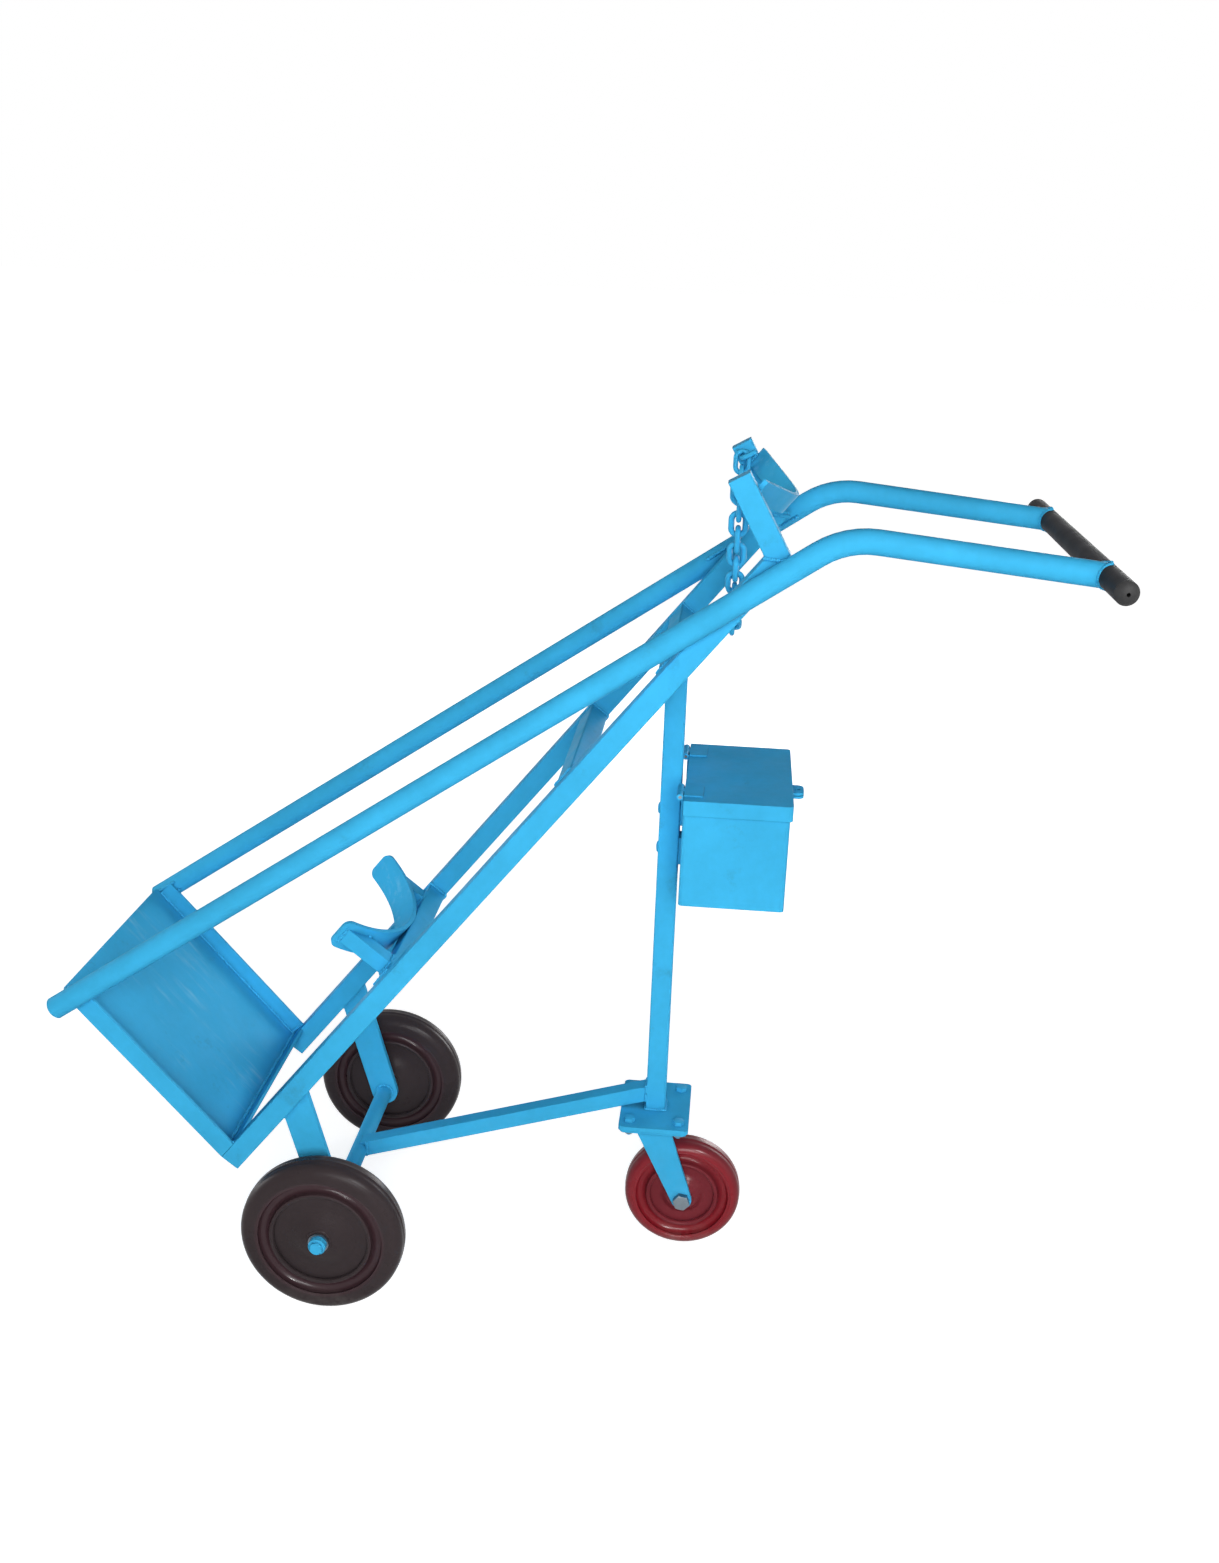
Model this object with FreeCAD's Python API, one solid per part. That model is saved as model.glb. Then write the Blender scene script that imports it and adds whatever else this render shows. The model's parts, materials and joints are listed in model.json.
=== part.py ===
import FreeCAD, Part
import math
import os

V = FreeCAD.Vector

# Gas cylinder trolley. Millimetres, +X towards the handle, +Y to the right of a person at the handle, +Z up.
# Pieces are laid out with the front axle at x = 0 and moved at the end so that the origin is under the middle.

# Frame, side view
lean_angle = 51.5
heel_ahead_of_axle = 121.7
heel_height = 166.5
crossing_along = 944.0
post_along = 988.0
post_height = 95.0
post_tilt = 22.0
middle_bar_along = 646.0
lower_saddle_along = 310.0
leg_behind_axle = 388.0

# Square tube of the rear bars, posts, cross-bars and leg
bar_size = 25.0
bar_wall = 2.0
bar_spacing = 290.0

# Toe plate
plate_depth = 280.0
plate_thickness = 4.0
plate_tilt = 10.0
plate_weld_bevel = 2.0
plate_corner_radius = 8.0
rail_height = 20.0
rear_rail_height = 26.0
rail_thickness = 4.0

# Round side tubes and handle
tube_diameter = 26.9
tube_wall = 2.3
tube_foot_out = 10.0
tube_foot_overhang = 24.0
tube_cap_thickness = 3.0
bend_after_crossing = 113.0
bend_radius = 90.0
handle_run = 266.0
handle_drop_angle = 5.5
handle_diameter = 25.0
handle_wall = 2.0
handle_length = 510.0
plug_dome_height = 8.0
plug_spigot_length = 20.0
plug_vent_diameter = 4.0

# Cradle for a cylinder of 232 mm diameter
cradle_diameter = 236.0
saddle_thickness = 5.0
saddle_width = 40.0
saddle_half_angle = 65.0
saddle_end_radius = 10.0
saddle_seat_gap = 0.2
saddle_post_size = 20.0
saddle_post_offset = 98.0
upper_saddle_width = 26.0
upper_saddle_half_angle = 24.0
upper_saddle_setback = 11.0

# Front wheels and axle
wheel_diameter = 200.0
wheel_width = 40.0
wheel_track = 382.0
wheel_hub_diameter = 32.0
wheel_hub_flare = 26.0
wheel_hub_length = 44.0
wheel_rim_depth = 30.0
wheel_web_thickness = 24.0
wheel_tread_radius = 14.0
wheel_round_steps = 3
axle_diameter = 16.0
bush_wall = 3.0
running_clearance = 0.05
side_clearance = 0.3
washer_thickness = 2.5
washer_diameter = 25.0
collar_diameter = 21.0
collar_length = 9.0
axle_end_length = 3.0
sleeve_diameter = 21.3
bracket_thickness = 8.0
bracket_width = 46.0
bracket_along = 90.0
bracket_eye_radius = 18.0

# Leg, stay and castor mounting
castor_height = 190.0
mount_plate_size = 88.0
mount_plate_width = 118.0
mount_plate_thickness = 6.0
mount_plate_corner = 6.0
stay_size = 20.0
stay_wall = 2.0
stay_clearance = 0.3

# Castor
castor_plate_size = 84.0
castor_plate_width = 112.0
castor_plate_thickness = 4.0
castor_bolt_spacing = 62.0
castor_bolt_spacing_across = 84.0
castor_bolt_diameter = 8.0
bolt_hole_clearance = 1.0
castor_trail = 40.0
castor_wheel_clearance = 14.4
castor_wheel_width = 38.0
castor_hub_diameter = 32.0
castor_hub_flare = 12.0
castor_hub_length = 44.0
castor_rim_depth = 21.0
castor_web_thickness = 22.0
castor_tread_radius = 12.0
race_outer_diameter = 58.0
race_height = 8.0
swivel_gap = 0.3
crown_thickness = 6.0
crown_length = 44.0
fork_leg_thickness = 6.0
fork_eye_radius = 13.0
kingpin_diameter = 14.0
kingpin_head_diameter = 26.0
kingpin_head_height = 7.0
castor_axle_diameter = 12.0

# Tool box behind the leg
box_length = 122.0
box_width = 210.0
box_height = 130.0
box_floor_height = 522.0
sheet_thickness = 2.0
sheet_bend_radius = 5.0
lid_lip_depth = 18.0
lid_clearance = 0.8
lid_seat_gap = 0.3
lid_back_gap = 0.5
box_standoff = 5.0
spacer_height = 34.0
spacer_inset = 14.0
box_bolt_diameter = 8.0
hinge_offset = 75.0
hinge_width = 38.0
knuckle_radius = 4.0
knuckle_length = 12.0
knuckle_gap = 0.5
hinge_leaf_length = 26.0
hinge_leaf_thickness = 2.0
hinge_pin_diameter = 4.0
tab_width = 30.0
tab_reach = 15.0
tab_thickness = 3.0
tab_gap = 1.0
padlock_hole_diameter = 7.0

# Fasteners, as multiples of the bolt diameter
hex_across_flats = 1.6
hex_head_height = 0.65
hex_nut_height = 0.8
button_head_width = 1.75
button_head_height = 0.35

# Retaining chain between the two posts
chain_wire = 6.0
chain_pitch = 20.0
chain_inner_width = 9.5
chain_links = 25
chain_play = 1.6
chain_pin_play = 0.9
chain_wire_sides = 8
chain_bend_steps = 4
chain_pin_diameter = 6.0
chain_pin_up = 82.0
chain_pin_ahead = 5.0
chain_seat_inset = 12.5
chain_pin_length = 22.5
chain_pin_head_diameter = 13.0
chain_pin_head_height = 3.0
hook_straight = 19.5
hook_bend_radius = 8.0
hook_tip = 10.0

parts = {}


def block(x0, x1, y0, y1, z0, z1):
    """Box between two corners."""
    return Part.makeBox(x1 - x0, y1 - y0, z1 - z0, V(x0, y0, z0))


def round_along_y(diameter, y0, y1, x, z):
    """Round bar along Y."""
    return Part.makeCylinder(diameter / 2, y1 - y0, V(x, y0, z), V(0, 1, 0))


def round_along_z(diameter, z0, z1, x, y):
    """Round bar along Z."""
    return Part.makeCylinder(diameter / 2, z1 - z0, V(x, y, z0), V(0, 0, 1))


def round_along_x(diameter, x0, x1, y, z):
    """Round bar along X."""
    return Part.makeCylinder(diameter / 2, x1 - x0, V(x0, y, z), V(1, 0, 0))


def side_prism(points, y0, y1):
    """Side-view outline of (x, z) points, extruded across the trolley."""
    corners = [V(x, y0, z) for x, z in points]
    face = Part.Face(Part.makePolygon(corners + corners[:1]))
    return face.extrude(V(0, y1 - y0, 0))


def hexagon(diameter, height, base, axis):
    """Hexagon head or nut body for a bolt of this diameter, standing on base along axis."""
    corner = diameter * hex_across_flats / math.sqrt(3.0)
    turns = [math.radians(30 + 60 * step) for step in range(6)]
    points = [V(corner * math.cos(turn), corner * math.sin(turn), 0) for turn in turns]
    solid = Part.Face(Part.makePolygon(points + points[:1])).extrude(V(0, 0, height))
    solid.Placement = FreeCAD.Placement(base, FreeCAD.Rotation(V(0, 0, 1), axis))
    return solid


def bolt(diameter, base, axis, grip):
    """Hexagon bolt: the head stands on base along axis, the shank runs the other way for grip."""
    head = hexagon(diameter, diameter * hex_head_height, base, axis)
    shank = Part.makeCylinder(diameter / 2, grip, base, axis * -1)
    return head.fuse(shank).removeSplitter()


def button_bolt(diameter, base, axis, grip):
    """Bolt with a low round head that stands on base along axis, its shank running the other way for grip."""
    height = diameter * button_head_height
    head = Part.makeCylinder(diameter * button_head_width / 2, height, base, axis)
    rim = [e for e in head.Edges if e.Closed and (e.CenterOfMass - base).Length > height / 2]
    head = head.makeFillet(height * 0.6, rim)
    shank = Part.makeCylinder(diameter / 2, grip, base, axis * -1)
    return head.fuse(shank).removeSplitter()


def nut(diameter, base, axis):
    """Hexagon nut standing on base along axis, bored to the bolt."""
    height = diameter * hex_nut_height
    return hexagon(diameter, height, base, axis).cut(Part.makeCylinder(diameter / 2, height, base, axis))


def upright_edges(shape):
    """Straight edges of a shape that run along Z."""
    return [e for e in shape.Edges if abs(e.BoundBox.ZLength - e.Length) < 1e-6 and e.Length > 1e-6]


def tangent_point(point, centre, radius, side):
    """Point where the line from an (x, z) point touches a circle, on the given side."""
    dx = point[0] - centre[0]
    dz = point[1] - centre[1]
    turn = math.atan2(dz, dx) + side * math.acos(radius / math.hypot(dx, dz))
    return (centre[0] + radius * math.cos(turn), centre[1] + radius * math.sin(turn))


def lug(first, second, centre, radius, y0, y1):
    """Flat lug from a straight root between two (x, z) points to a round eye, extruded across the trolley."""
    start = tangent_point(first, centre, radius, -1)
    end = tangent_point(second, centre, radius, 1)
    away = math.atan2(centre[1] - (first[1] + second[1]) / 2, centre[0] - (first[0] + second[0]) / 2)
    tip = (centre[0] + radius * math.cos(away), centre[1] + radius * math.sin(away))
    a, b, c, d, e = [V(x, y0, z) for x, z in (first, second, end, tip, start)]
    edges = [Part.LineSegment(a, b), Part.LineSegment(b, c), Part.Arc(c, d, e), Part.LineSegment(e, a)]
    face = Part.Face(Part.Wire([edge.toShape() for edge in edges]))
    return face.extrude(V(0, y1 - y0, 0))


def mirrored(shape):
    """The same piece on the other side of the mid-plane."""
    return shape.mirror(V(0, 0, 0), V(0, 1, 0))


def add_pair(name, left):
    """Left piece, at negative y, and its mirror image on the right."""
    parts["left_" + name] = left
    parts["right_" + name] = mirrored(left)


# The cradle frame: local x runs up the rear bars from the toe plate, local z stands out from them
lean = FreeCAD.Placement(V(-heel_ahead_of_axle, 0, heel_height), FreeCAD.Rotation(V(0, 1, 0), -lean_angle))


def leaned(shape):
    """A piece drawn along the rear bars, turned to the lean of the cradle."""
    shape.Placement = lean.multiply(shape.Placement)
    return shape


def cradle_point(along, out):
    """Side-view (x, z) of a point up the rear bars and out from them."""
    point = lean.multVec(V(along, 0, out))
    return (point.x, point.z)


half_bar = bar_size / 2
bar_y = bar_spacing / 2
bar_inner_y = bar_y - half_bar
bar_outer_y = bar_y + half_bar
tube_y = bar_outer_y + tube_diameter / 2
cradle_radius = cradle_diameter / 2
saddle_outer_radius = cradle_radius + saddle_thickness
cradle_centre_out = half_bar + saddle_seat_gap + saddle_outer_radius
wheel_radius = wheel_diameter / 2
castor_stack = castor_plate_thickness + race_height + crown_thickness + kingpin_head_height + 2 * swivel_gap
castor_wheel_diameter = castor_height - castor_stack - castor_wheel_clearance
castor_wheel_radius = castor_wheel_diameter / 2
swivel_x = leg_behind_axle
mount_plate_top = castor_height + mount_plate_thickness


def cross_tube(along):
    """Square tube between the two rear bars."""
    hole = half_bar - bar_wall
    outer = block(along - half_bar, along + half_bar, -bar_inner_y, bar_inner_y, -half_bar, half_bar)
    inner = block(along - hole, along + hole, -bar_inner_y, bar_inner_y, -hole, hole)
    return outer.cut(inner)


# The chain posts' frame: local z runs up the posts, which stand about square on the side tubes
post_frame = lean.multiply(FreeCAD.Placement(V(post_along, 0, 0), FreeCAD.Rotation(V(0, 1, 0), post_tilt)))


def on_post(shape):
    """A piece drawn on an upright chain post, put in the posts' place."""
    shape.Placement = post_frame.multiply(shape.Placement)
    return shape


def make_rear_bars():
    """Rear bars and chain posts, mitred to each other at the top of the cradle."""
    hole = half_bar - bar_wall
    y0 = -bar_y - half_bar
    y1 = -bar_y + half_bar
    mitre = math.tan(math.radians(45 - post_tilt / 2))

    def bar_outline(half, start):
        end = mitre * half
        return [(start, -half), (post_along + end, -half), (post_along - end, half), (start, half)]

    def post_outline(half, top):
        return [(half, -mitre * half), (half, top), (-half, top), (-half, mitre * half)]

    bar = side_prism(bar_outline(half_bar, -plate_thickness), y0, y1)
    bar = bar.cut(side_prism(bar_outline(hole, 0), y0 + bar_wall, y1 - bar_wall))
    post = side_prism(post_outline(half_bar, post_height), y0, y1)
    post = post.cut(side_prism(post_outline(hole, post_height - bar_wall), y0 + bar_wall, y1 - bar_wall))
    add_pair("rear_bar", leaned(bar))
    add_pair("chain_post", on_post(post))


# The toe plate's frame: local x stands square on the plate, local z runs forward from the front of the rear bars
toe_frame = lean.multiply(FreeCAD.Placement(V(0, 0, half_bar), FreeCAD.Rotation(V(0, 1, 0), plate_tilt)))


def toe_point(up, forward):
    """Side-view (x, z) of a point up from the toe plate and forward from the rear bars."""
    point = toe_frame.multVec(V(up, 0, forward))
    return (point.x, point.z)


def on_toe_plate(shape):
    """A piece drawn on the toe plate, put in place and cut off where the front of the rear bars begins."""
    shape.Placement = toe_frame.multiply(shape.Placement)
    behind = block(-plate_depth, plate_depth, -plate_depth, plate_depth, -plate_depth, half_bar)
    return shape.cut(leaned(behind))


def make_toe_plate():
    """Toe plate, tipped up a little from square to the rear bars, set between upright rails on three sides."""
    edge_y = bar_outer_y - rail_thickness
    floor = block(-plate_thickness, 0, -edge_y, edge_y, -plate_thickness, plate_depth)
    front_corners = []
    for edge in floor.Edges:
        box = edge.BoundBox
        if box.XLength > plate_thickness / 2 and box.ZMin > plate_depth - 1:
            front_corners.append(edge)
    floor = floor.makeFillet(plate_corner_radius, front_corners)
    bevel = plate_weld_bevel
    wedge = [(bevel, 2 * bevel), (-2 * bevel, -bevel), (-2 * bevel, -2 * bevel), (bevel, -2 * bevel)]
    floor = floor.cut(side_prism(wedge, -bar_outer_y, bar_outer_y))
    parts["toe_plate"] = on_toe_plate(floor)
    rail_end = plate_depth - plate_corner_radius
    side = block(-plate_thickness, rail_height, -bar_outer_y, -edge_y, -rail_height, rail_end)
    add_pair("toe_rail", on_toe_plate(side))
    back = block(-plate_thickness, rear_rail_height, -bar_inner_y, bar_inner_y, half_bar - rail_thickness, half_bar)
    parts["rear_toe_rail"] = leaned(back)


def saddle_arc(radius, angle):
    """Point of the cradle's round at an angle from its bottom, in the plane across the bars."""
    turn = math.radians(angle)
    return V(0, radius * math.sin(turn), cradle_centre_out - radius * math.cos(turn))


def make_lower_saddle():
    """Curved strip that a cylinder lies in, on two posts and a cross-bar."""
    inner = [saddle_arc(cradle_radius, a) for a in (-saddle_half_angle, 0, saddle_half_angle)]
    outer = [saddle_arc(saddle_outer_radius, a) for a in (-saddle_half_angle, 0, saddle_half_angle)]
    edges = [
        Part.Arc(*inner).toShape(),
        Part.LineSegment(inner[2], outer[2]).toShape(),
        Part.Arc(*outer).toShape(),
        Part.LineSegment(outer[0], inner[0]).toShape(),
    ]
    strip = Part.Face(Part.Wire(Part.__sortEdges__(edges))).extrude(V(saddle_width, 0, 0))
    ends = [e for e in strip.Edges if abs(e.Length - saddle_thickness) < 1e-6]
    strip = strip.makeFillet(saddle_end_radius, ends)
    strip.translate(V(lower_saddle_along - saddle_width / 2, 0, 0))
    parts["lower_saddle"] = leaned(strip)

    half = saddle_post_size / 2
    x0 = lower_saddle_along - half
    x1 = lower_saddle_along + half
    post = block(x0, x1, -saddle_post_offset - half, -saddle_post_offset + half, half_bar, cradle_centre_out)
    round_of_strip = Part.makeCylinder(saddle_outer_radius, x1 - x0, V(x0, 0, cradle_centre_out), V(1, 0, 0))
    add_pair("saddle_post", leaned(post.cut(round_of_strip)))
    parts["lower_cross_bar"] = leaned(cross_tube(lower_saddle_along))


def make_upper_saddle():
    """Strip between the chain posts: a round bottom with a straight wing up to each post."""
    angle = math.radians(upper_saddle_half_angle)

    def wing_end(radius, side):
        run = (bar_inner_y - radius * math.sin(angle)) / math.cos(angle)
        return V(0, side * bar_inner_y, cradle_centre_out - radius * math.cos(angle) + run * math.sin(angle))

    edges = []
    for radius in (cradle_radius, saddle_outer_radius):
        angles = (-upper_saddle_half_angle, 0, upper_saddle_half_angle)
        left, bottom, right = [saddle_arc(radius, a) for a in angles]
        edges.append(Part.LineSegment(wing_end(radius, -1), left).toShape())
        edges.append(Part.Arc(left, bottom, right).toShape())
        edges.append(Part.LineSegment(right, wing_end(radius, 1)).toShape())
    for side in (-1, 1):
        ends = [wing_end(radius, side) for radius in (cradle_radius, saddle_outer_radius)]
        edges.append(Part.LineSegment(*ends).toShape())
    strip = Part.Face(Part.Wire(Part.__sortEdges__(edges))).extrude(V(upper_saddle_width, 0, 0))
    wing_out = (wing_end(cradle_radius, 1).z + wing_end(saddle_outer_radius, 1).z) / 2
    post_middle = post_along + wing_out * math.tan(math.radians(post_tilt))
    strip.translate(V(post_middle + upper_saddle_setback - upper_saddle_width / 2, 0, 0))
    parts["upper_saddle"] = leaned(strip)
    parts["middle_cross_bar"] = leaned(cross_tube(middle_bar_along))


# Side-view points of the round side tubes
foot = toe_point(tube_foot_out, plate_depth - tube_diameter / 2)
crossing = cradle_point(crossing_along, 0)
climb_angle = math.atan2(crossing[1] - foot[1], crossing[0] - foot[0])
climb = (math.cos(climb_angle), math.sin(climb_angle))
drop_angle = math.radians(handle_drop_angle)
bend = (crossing[0] + bend_after_crossing * climb[0], crossing[1] + bend_after_crossing * climb[1])
handle = (bend[0] + handle_run * math.cos(drop_angle), bend[1] - handle_run * math.sin(drop_angle))
tube_start = (foot[0] - tube_foot_overhang * climb[0], foot[1] - tube_foot_overhang * climb[1])


def make_side_tubes():
    """Round tubes from the toe plate's front corners, past the rear bars and round a bend to the handle."""
    turn = climb_angle + drop_angle
    setback = bend_radius * math.tan(turn / 2)
    bend_in = (bend[0] - setback * climb[0], bend[1] - setback * climb[1])
    bend_out = (bend[0] + setback * math.cos(drop_angle), bend[1] - setback * math.sin(drop_angle))
    centre = (bend_in[0] + bend_radius * climb[1], bend_in[1] - bend_radius * climb[0])
    middle_angle = math.pi / 2 + (climb_angle - drop_angle) / 2
    middle = (centre[0] + bend_radius * math.cos(middle_angle), centre[1] + bend_radius * math.sin(middle_angle))
    points = [V(x, -tube_y, z) for x, z in (tube_start, bend_in, middle, bend_out, handle)]
    path = Part.Wire([
        Part.LineSegment(points[0], points[1]).toShape(),
        Part.Arc(points[1], points[2], points[3]).toShape(),
        Part.LineSegment(points[3], points[4]).toShape(),
    ])
    along = V(climb[0], 0, climb[1])

    def swept(radius):
        ring = Part.Wire(Part.makeCircle(radius, points[0], along))
        return path.makePipeShell([ring], True, False)

    tube = swept(tube_diameter / 2).cut(swept(tube_diameter / 2 - tube_wall))
    tube = tube.cut(round_along_y(handle_diameter, -handle_length / 2, handle_length / 2, *handle))
    tube = max(tube.Solids, key=lambda solid: solid.Volume)
    add_pair("side_tube", tube)
    cap = Part.makeCylinder(tube_diameter / 2, tube_cap_thickness, points[0], along * -1)
    rim = [e for e in cap.Edges if (e.CenterOfMass - points[0]).Length > tube_cap_thickness / 2 and e.Closed]
    add_pair("tube_cap", cap.makeChamfer(tube_cap_thickness / 2, rim))


def make_handle():
    """Cross handle with a domed plug in each end."""
    half = handle_length / 2
    bore = handle_diameter - 2 * handle_wall
    bar = round_along_y(handle_diameter, -half, half, *handle)
    parts["handle_bar"] = bar.cut(round_along_y(bore, -half, half, *handle))
    outer = handle_diameter / 2
    vent = plug_vent_diameter / 2
    dome_radius = (outer ** 2 + plug_dome_height ** 2) / (2 * plug_dome_height)
    dome_centre = plug_dome_height - dome_radius
    top = V(vent, dome_centre + math.sqrt(dome_radius ** 2 - vent ** 2), 0)
    half_way = math.atan2(-dome_centre, outer) / 2 + math.pi / 4
    crown = V(dome_radius * math.cos(half_way), dome_centre + dome_radius * math.sin(half_way), 0)
    edge = Part.Arc(V(outer, 0, 0), crown, top).toShape()
    end = -plug_spigot_length
    spigot = [V(outer, 0, 0), V(bore / 2, 0, 0), V(bore / 2, end, 0), V(vent, end, 0)]
    lines = [Part.LineSegment(a, b).toShape() for a, b in zip(spigot, spigot[1:] + [top])]
    plug = Part.Face(Part.Wire(Part.__sortEdges__([edge] + lines))).revolve(V(0, 0, 0), V(0, 1, 0), 360)
    plug.translate(V(handle[0], half, handle[1]))
    parts["right_handle_plug"] = plug
    parts["left_handle_plug"] = mirrored(plug)


def make_leg():
    """Upright leg from a cross-bar down to the castor plate, and the stay from the axle to its foot."""
    along = (swivel_x + heel_ahead_of_axle) / math.cos(math.radians(lean_angle))
    parts["leg_cross_bar"] = leaned(cross_tube(along))
    bar_centre = cradle_point(along, 0)
    outer_bar = leaned(block(along - half_bar, along + half_bar, -bar_size, bar_size, -half_bar, half_bar))
    hole = half_bar - bar_wall
    leg = block(swivel_x - half_bar, swivel_x + half_bar, -half_bar, half_bar, mount_plate_top, bar_centre[1])
    leg = leg.cut(block(swivel_x - hole, swivel_x + hole, -hole, hole, mount_plate_top, bar_centre[1]))
    leg = leg.cut(outer_bar)
    for z in box_bolt_heights():
        hole_through = box_bolt_diameter + bolt_hole_clearance
        leg = leg.cut(round_along_x(hole_through, swivel_x - bar_size, swivel_x + bar_size, 0, z))
    parts["leg"] = leg

    half = mount_plate_size / 2
    across = mount_plate_width / 2
    plate = block(swivel_x - half, swivel_x + half, -across, across, castor_height, mount_plate_top)
    plate = plate.makeFillet(mount_plate_corner, upright_edges(plate))
    parts["castor_mount_plate"] = plate.cut(castor_bolt_holes(castor_height, mount_plate_top))

    # The stay's lower face passes just over the edge of the mount plate and ends on the leg
    edge_x = swivel_x - half
    leg_face_x = swivel_x - half_bar
    reach = math.hypot(edge_x, mount_plate_top + stay_clearance - wheel_radius)
    rise = math.atan2(mount_plate_top + stay_clearance - wheel_radius, edge_x) + math.asin(stay_size / 2 / reach)
    stay_half = stay_size / 2
    stay_hole = stay_half - stay_wall
    length = leg_face_x / math.cos(rise) + stay_size
    stay = block(0, length, -stay_half, stay_half, -stay_half, stay_half)
    stay = stay.cut(block(0, length, -stay_hole, stay_hole, -stay_hole, stay_hole))
    stay.Placement = FreeCAD.Placement(V(0, 0, wheel_radius), FreeCAD.Rotation(V(0, 1, 0), -math.degrees(rise)))
    beyond = block(leg_face_x, leg_face_x + length, -length, length, 0, 2 * length)
    stay = stay.cut(beyond)
    stay = stay.cut(round_along_y(sleeve_diameter, -stay_size, stay_size, 0, wheel_radius))
    parts["stay_bar"] = max(stay.Solids, key=lambda solid: solid.Volume)


def castor_bolt_holes(z0, z1):
    """Clearance holes of the castor's four bolts."""
    diameter = castor_bolt_diameter + bolt_hole_clearance
    return Part.makeCompound([round_along_z(diameter, z0, z1, x, y) for x, y in castor_bolt_places()])


def castor_bolt_places():
    """Corners of the castor's bolt rectangle."""
    half = castor_bolt_spacing / 2
    across = castor_bolt_spacing_across / 2
    return [(swivel_x + sx * half, sy * across) for sx in (-1, 1) for sy in (-1, 1)]


def quarter_round(centre, radius, side_y):
    """Points of a quarter-round in a wheel's profile, from straight sideways to straight outward."""
    turns = [math.radians(90.0 * step / wheel_round_steps) for step in range(wheel_round_steps + 1)]
    return [(centre[0] + radius * math.sin(turn), centre[1] + side_y * radius * math.cos(turn)) for turn in turns]


def wheel_solid(
    diameter, width, hub_diameter, hub_length, hub_flare, rim_depth, web_thickness, tread_radius, bore,
):
    """One-piece wheel about the Y axis: rounded rim, dished web and a longer hub that flares into the web."""
    outer = diameter / 2
    rim_inner = outer - rim_depth
    hub_outer = hub_diameter / 2
    dish = (width - web_thickness) / 2

    def face_side(side):
        half = side * width / 2
        hub = side * hub_length / 2
        points = [(bore / 2, hub), (hub_outer, hub), (hub_outer + hub_flare, side * web_thickness / 2)]
        points += quarter_round((rim_inner - dish, half), dish, -side)
        points += quarter_round((outer - tread_radius, half - side * tread_radius), tread_radius, side)
        return points

    profile = [V(r, y, 0) for r, y in face_side(-1) + face_side(1)[::-1]]
    face = Part.Face(Part.makePolygon(profile + profile[:1]))
    return face.revolve(V(0, 0, 0), V(0, 1, 0), 360)


def make_front_wheels():
    """Front axle with its sleeve, brackets, washers, collars, bushes and two wheels."""
    track = wheel_track / 2
    z = wheel_radius
    hub_half = wheel_hub_length / 2
    bush_diameter = axle_diameter + 2 * bush_wall
    wheel = wheel_solid(
        wheel_diameter, wheel_width, wheel_hub_diameter, wheel_hub_length, wheel_hub_flare,
        wheel_rim_depth, wheel_web_thickness, wheel_tread_radius, bush_diameter,
    )
    wheel.translate(V(0, -track, z))
    add_pair("wheel", wheel)
    bush = round_along_y(bush_diameter, -track - hub_half, -track + hub_half, 0, z)
    bore = round_along_y(axle_diameter + 2 * running_clearance, -track - hub_half, -track + hub_half, 0, z)
    add_pair("wheel_bush", bush.cut(bore))

    inner_washer = track - hub_half - side_clearance
    outer_washer = track + hub_half + side_clearance
    sleeve_end = inner_washer - washer_thickness
    collar_start = outer_washer + washer_thickness
    axle_end = collar_start + collar_length + axle_end_length
    axle = round_along_y(axle_diameter, -axle_end, axle_end, 0, z)
    rims = [e for e in axle.Edges if abs(abs(e.CenterOfMass.y) - axle_end) < 1e-6 and e.Closed]
    parts["axle"] = axle.makeChamfer(axle_end_length / 3, rims)

    def ring(diameter, y0, y1):
        return round_along_y(diameter, y0, y1, 0, z).cut(round_along_y(axle_diameter, y0, y1, 0, z))

    washers = []
    for start in (-outer_washer - washer_thickness, -inner_washer, sleeve_end, outer_washer):
        washers.append(ring(washer_diameter, start, start + washer_thickness))
    parts["axle_washers"] = Part.makeCompound(washers)
    collar = ring(collar_diameter, -collar_start - collar_length, -collar_start)
    face = [e for e in collar.Edges if e.BoundBox.YMax < -collar_start - collar_length + 1e-3]
    face = [e for e in face if e.BoundBox.XLength > axle_diameter + 1]
    add_pair("axle_collar", collar.makeChamfer(collar_length / 5, face))
    parts["axle_sleeve"] = ring(sleeve_diameter, -sleeve_end, sleeve_end)

    first = cradle_point(bracket_along + bracket_width, -half_bar)
    second = cradle_point(bracket_along, -half_bar)
    y0 = -bar_y - bracket_thickness / 2
    bracket = lug(first, second, (0, z), bracket_eye_radius, y0, y0 + bracket_thickness)
    bracket = bracket.cut(round_along_y(sleeve_diameter, y0, y0 + bracket_thickness, 0, z))
    add_pair("axle_bracket", bracket)


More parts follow.
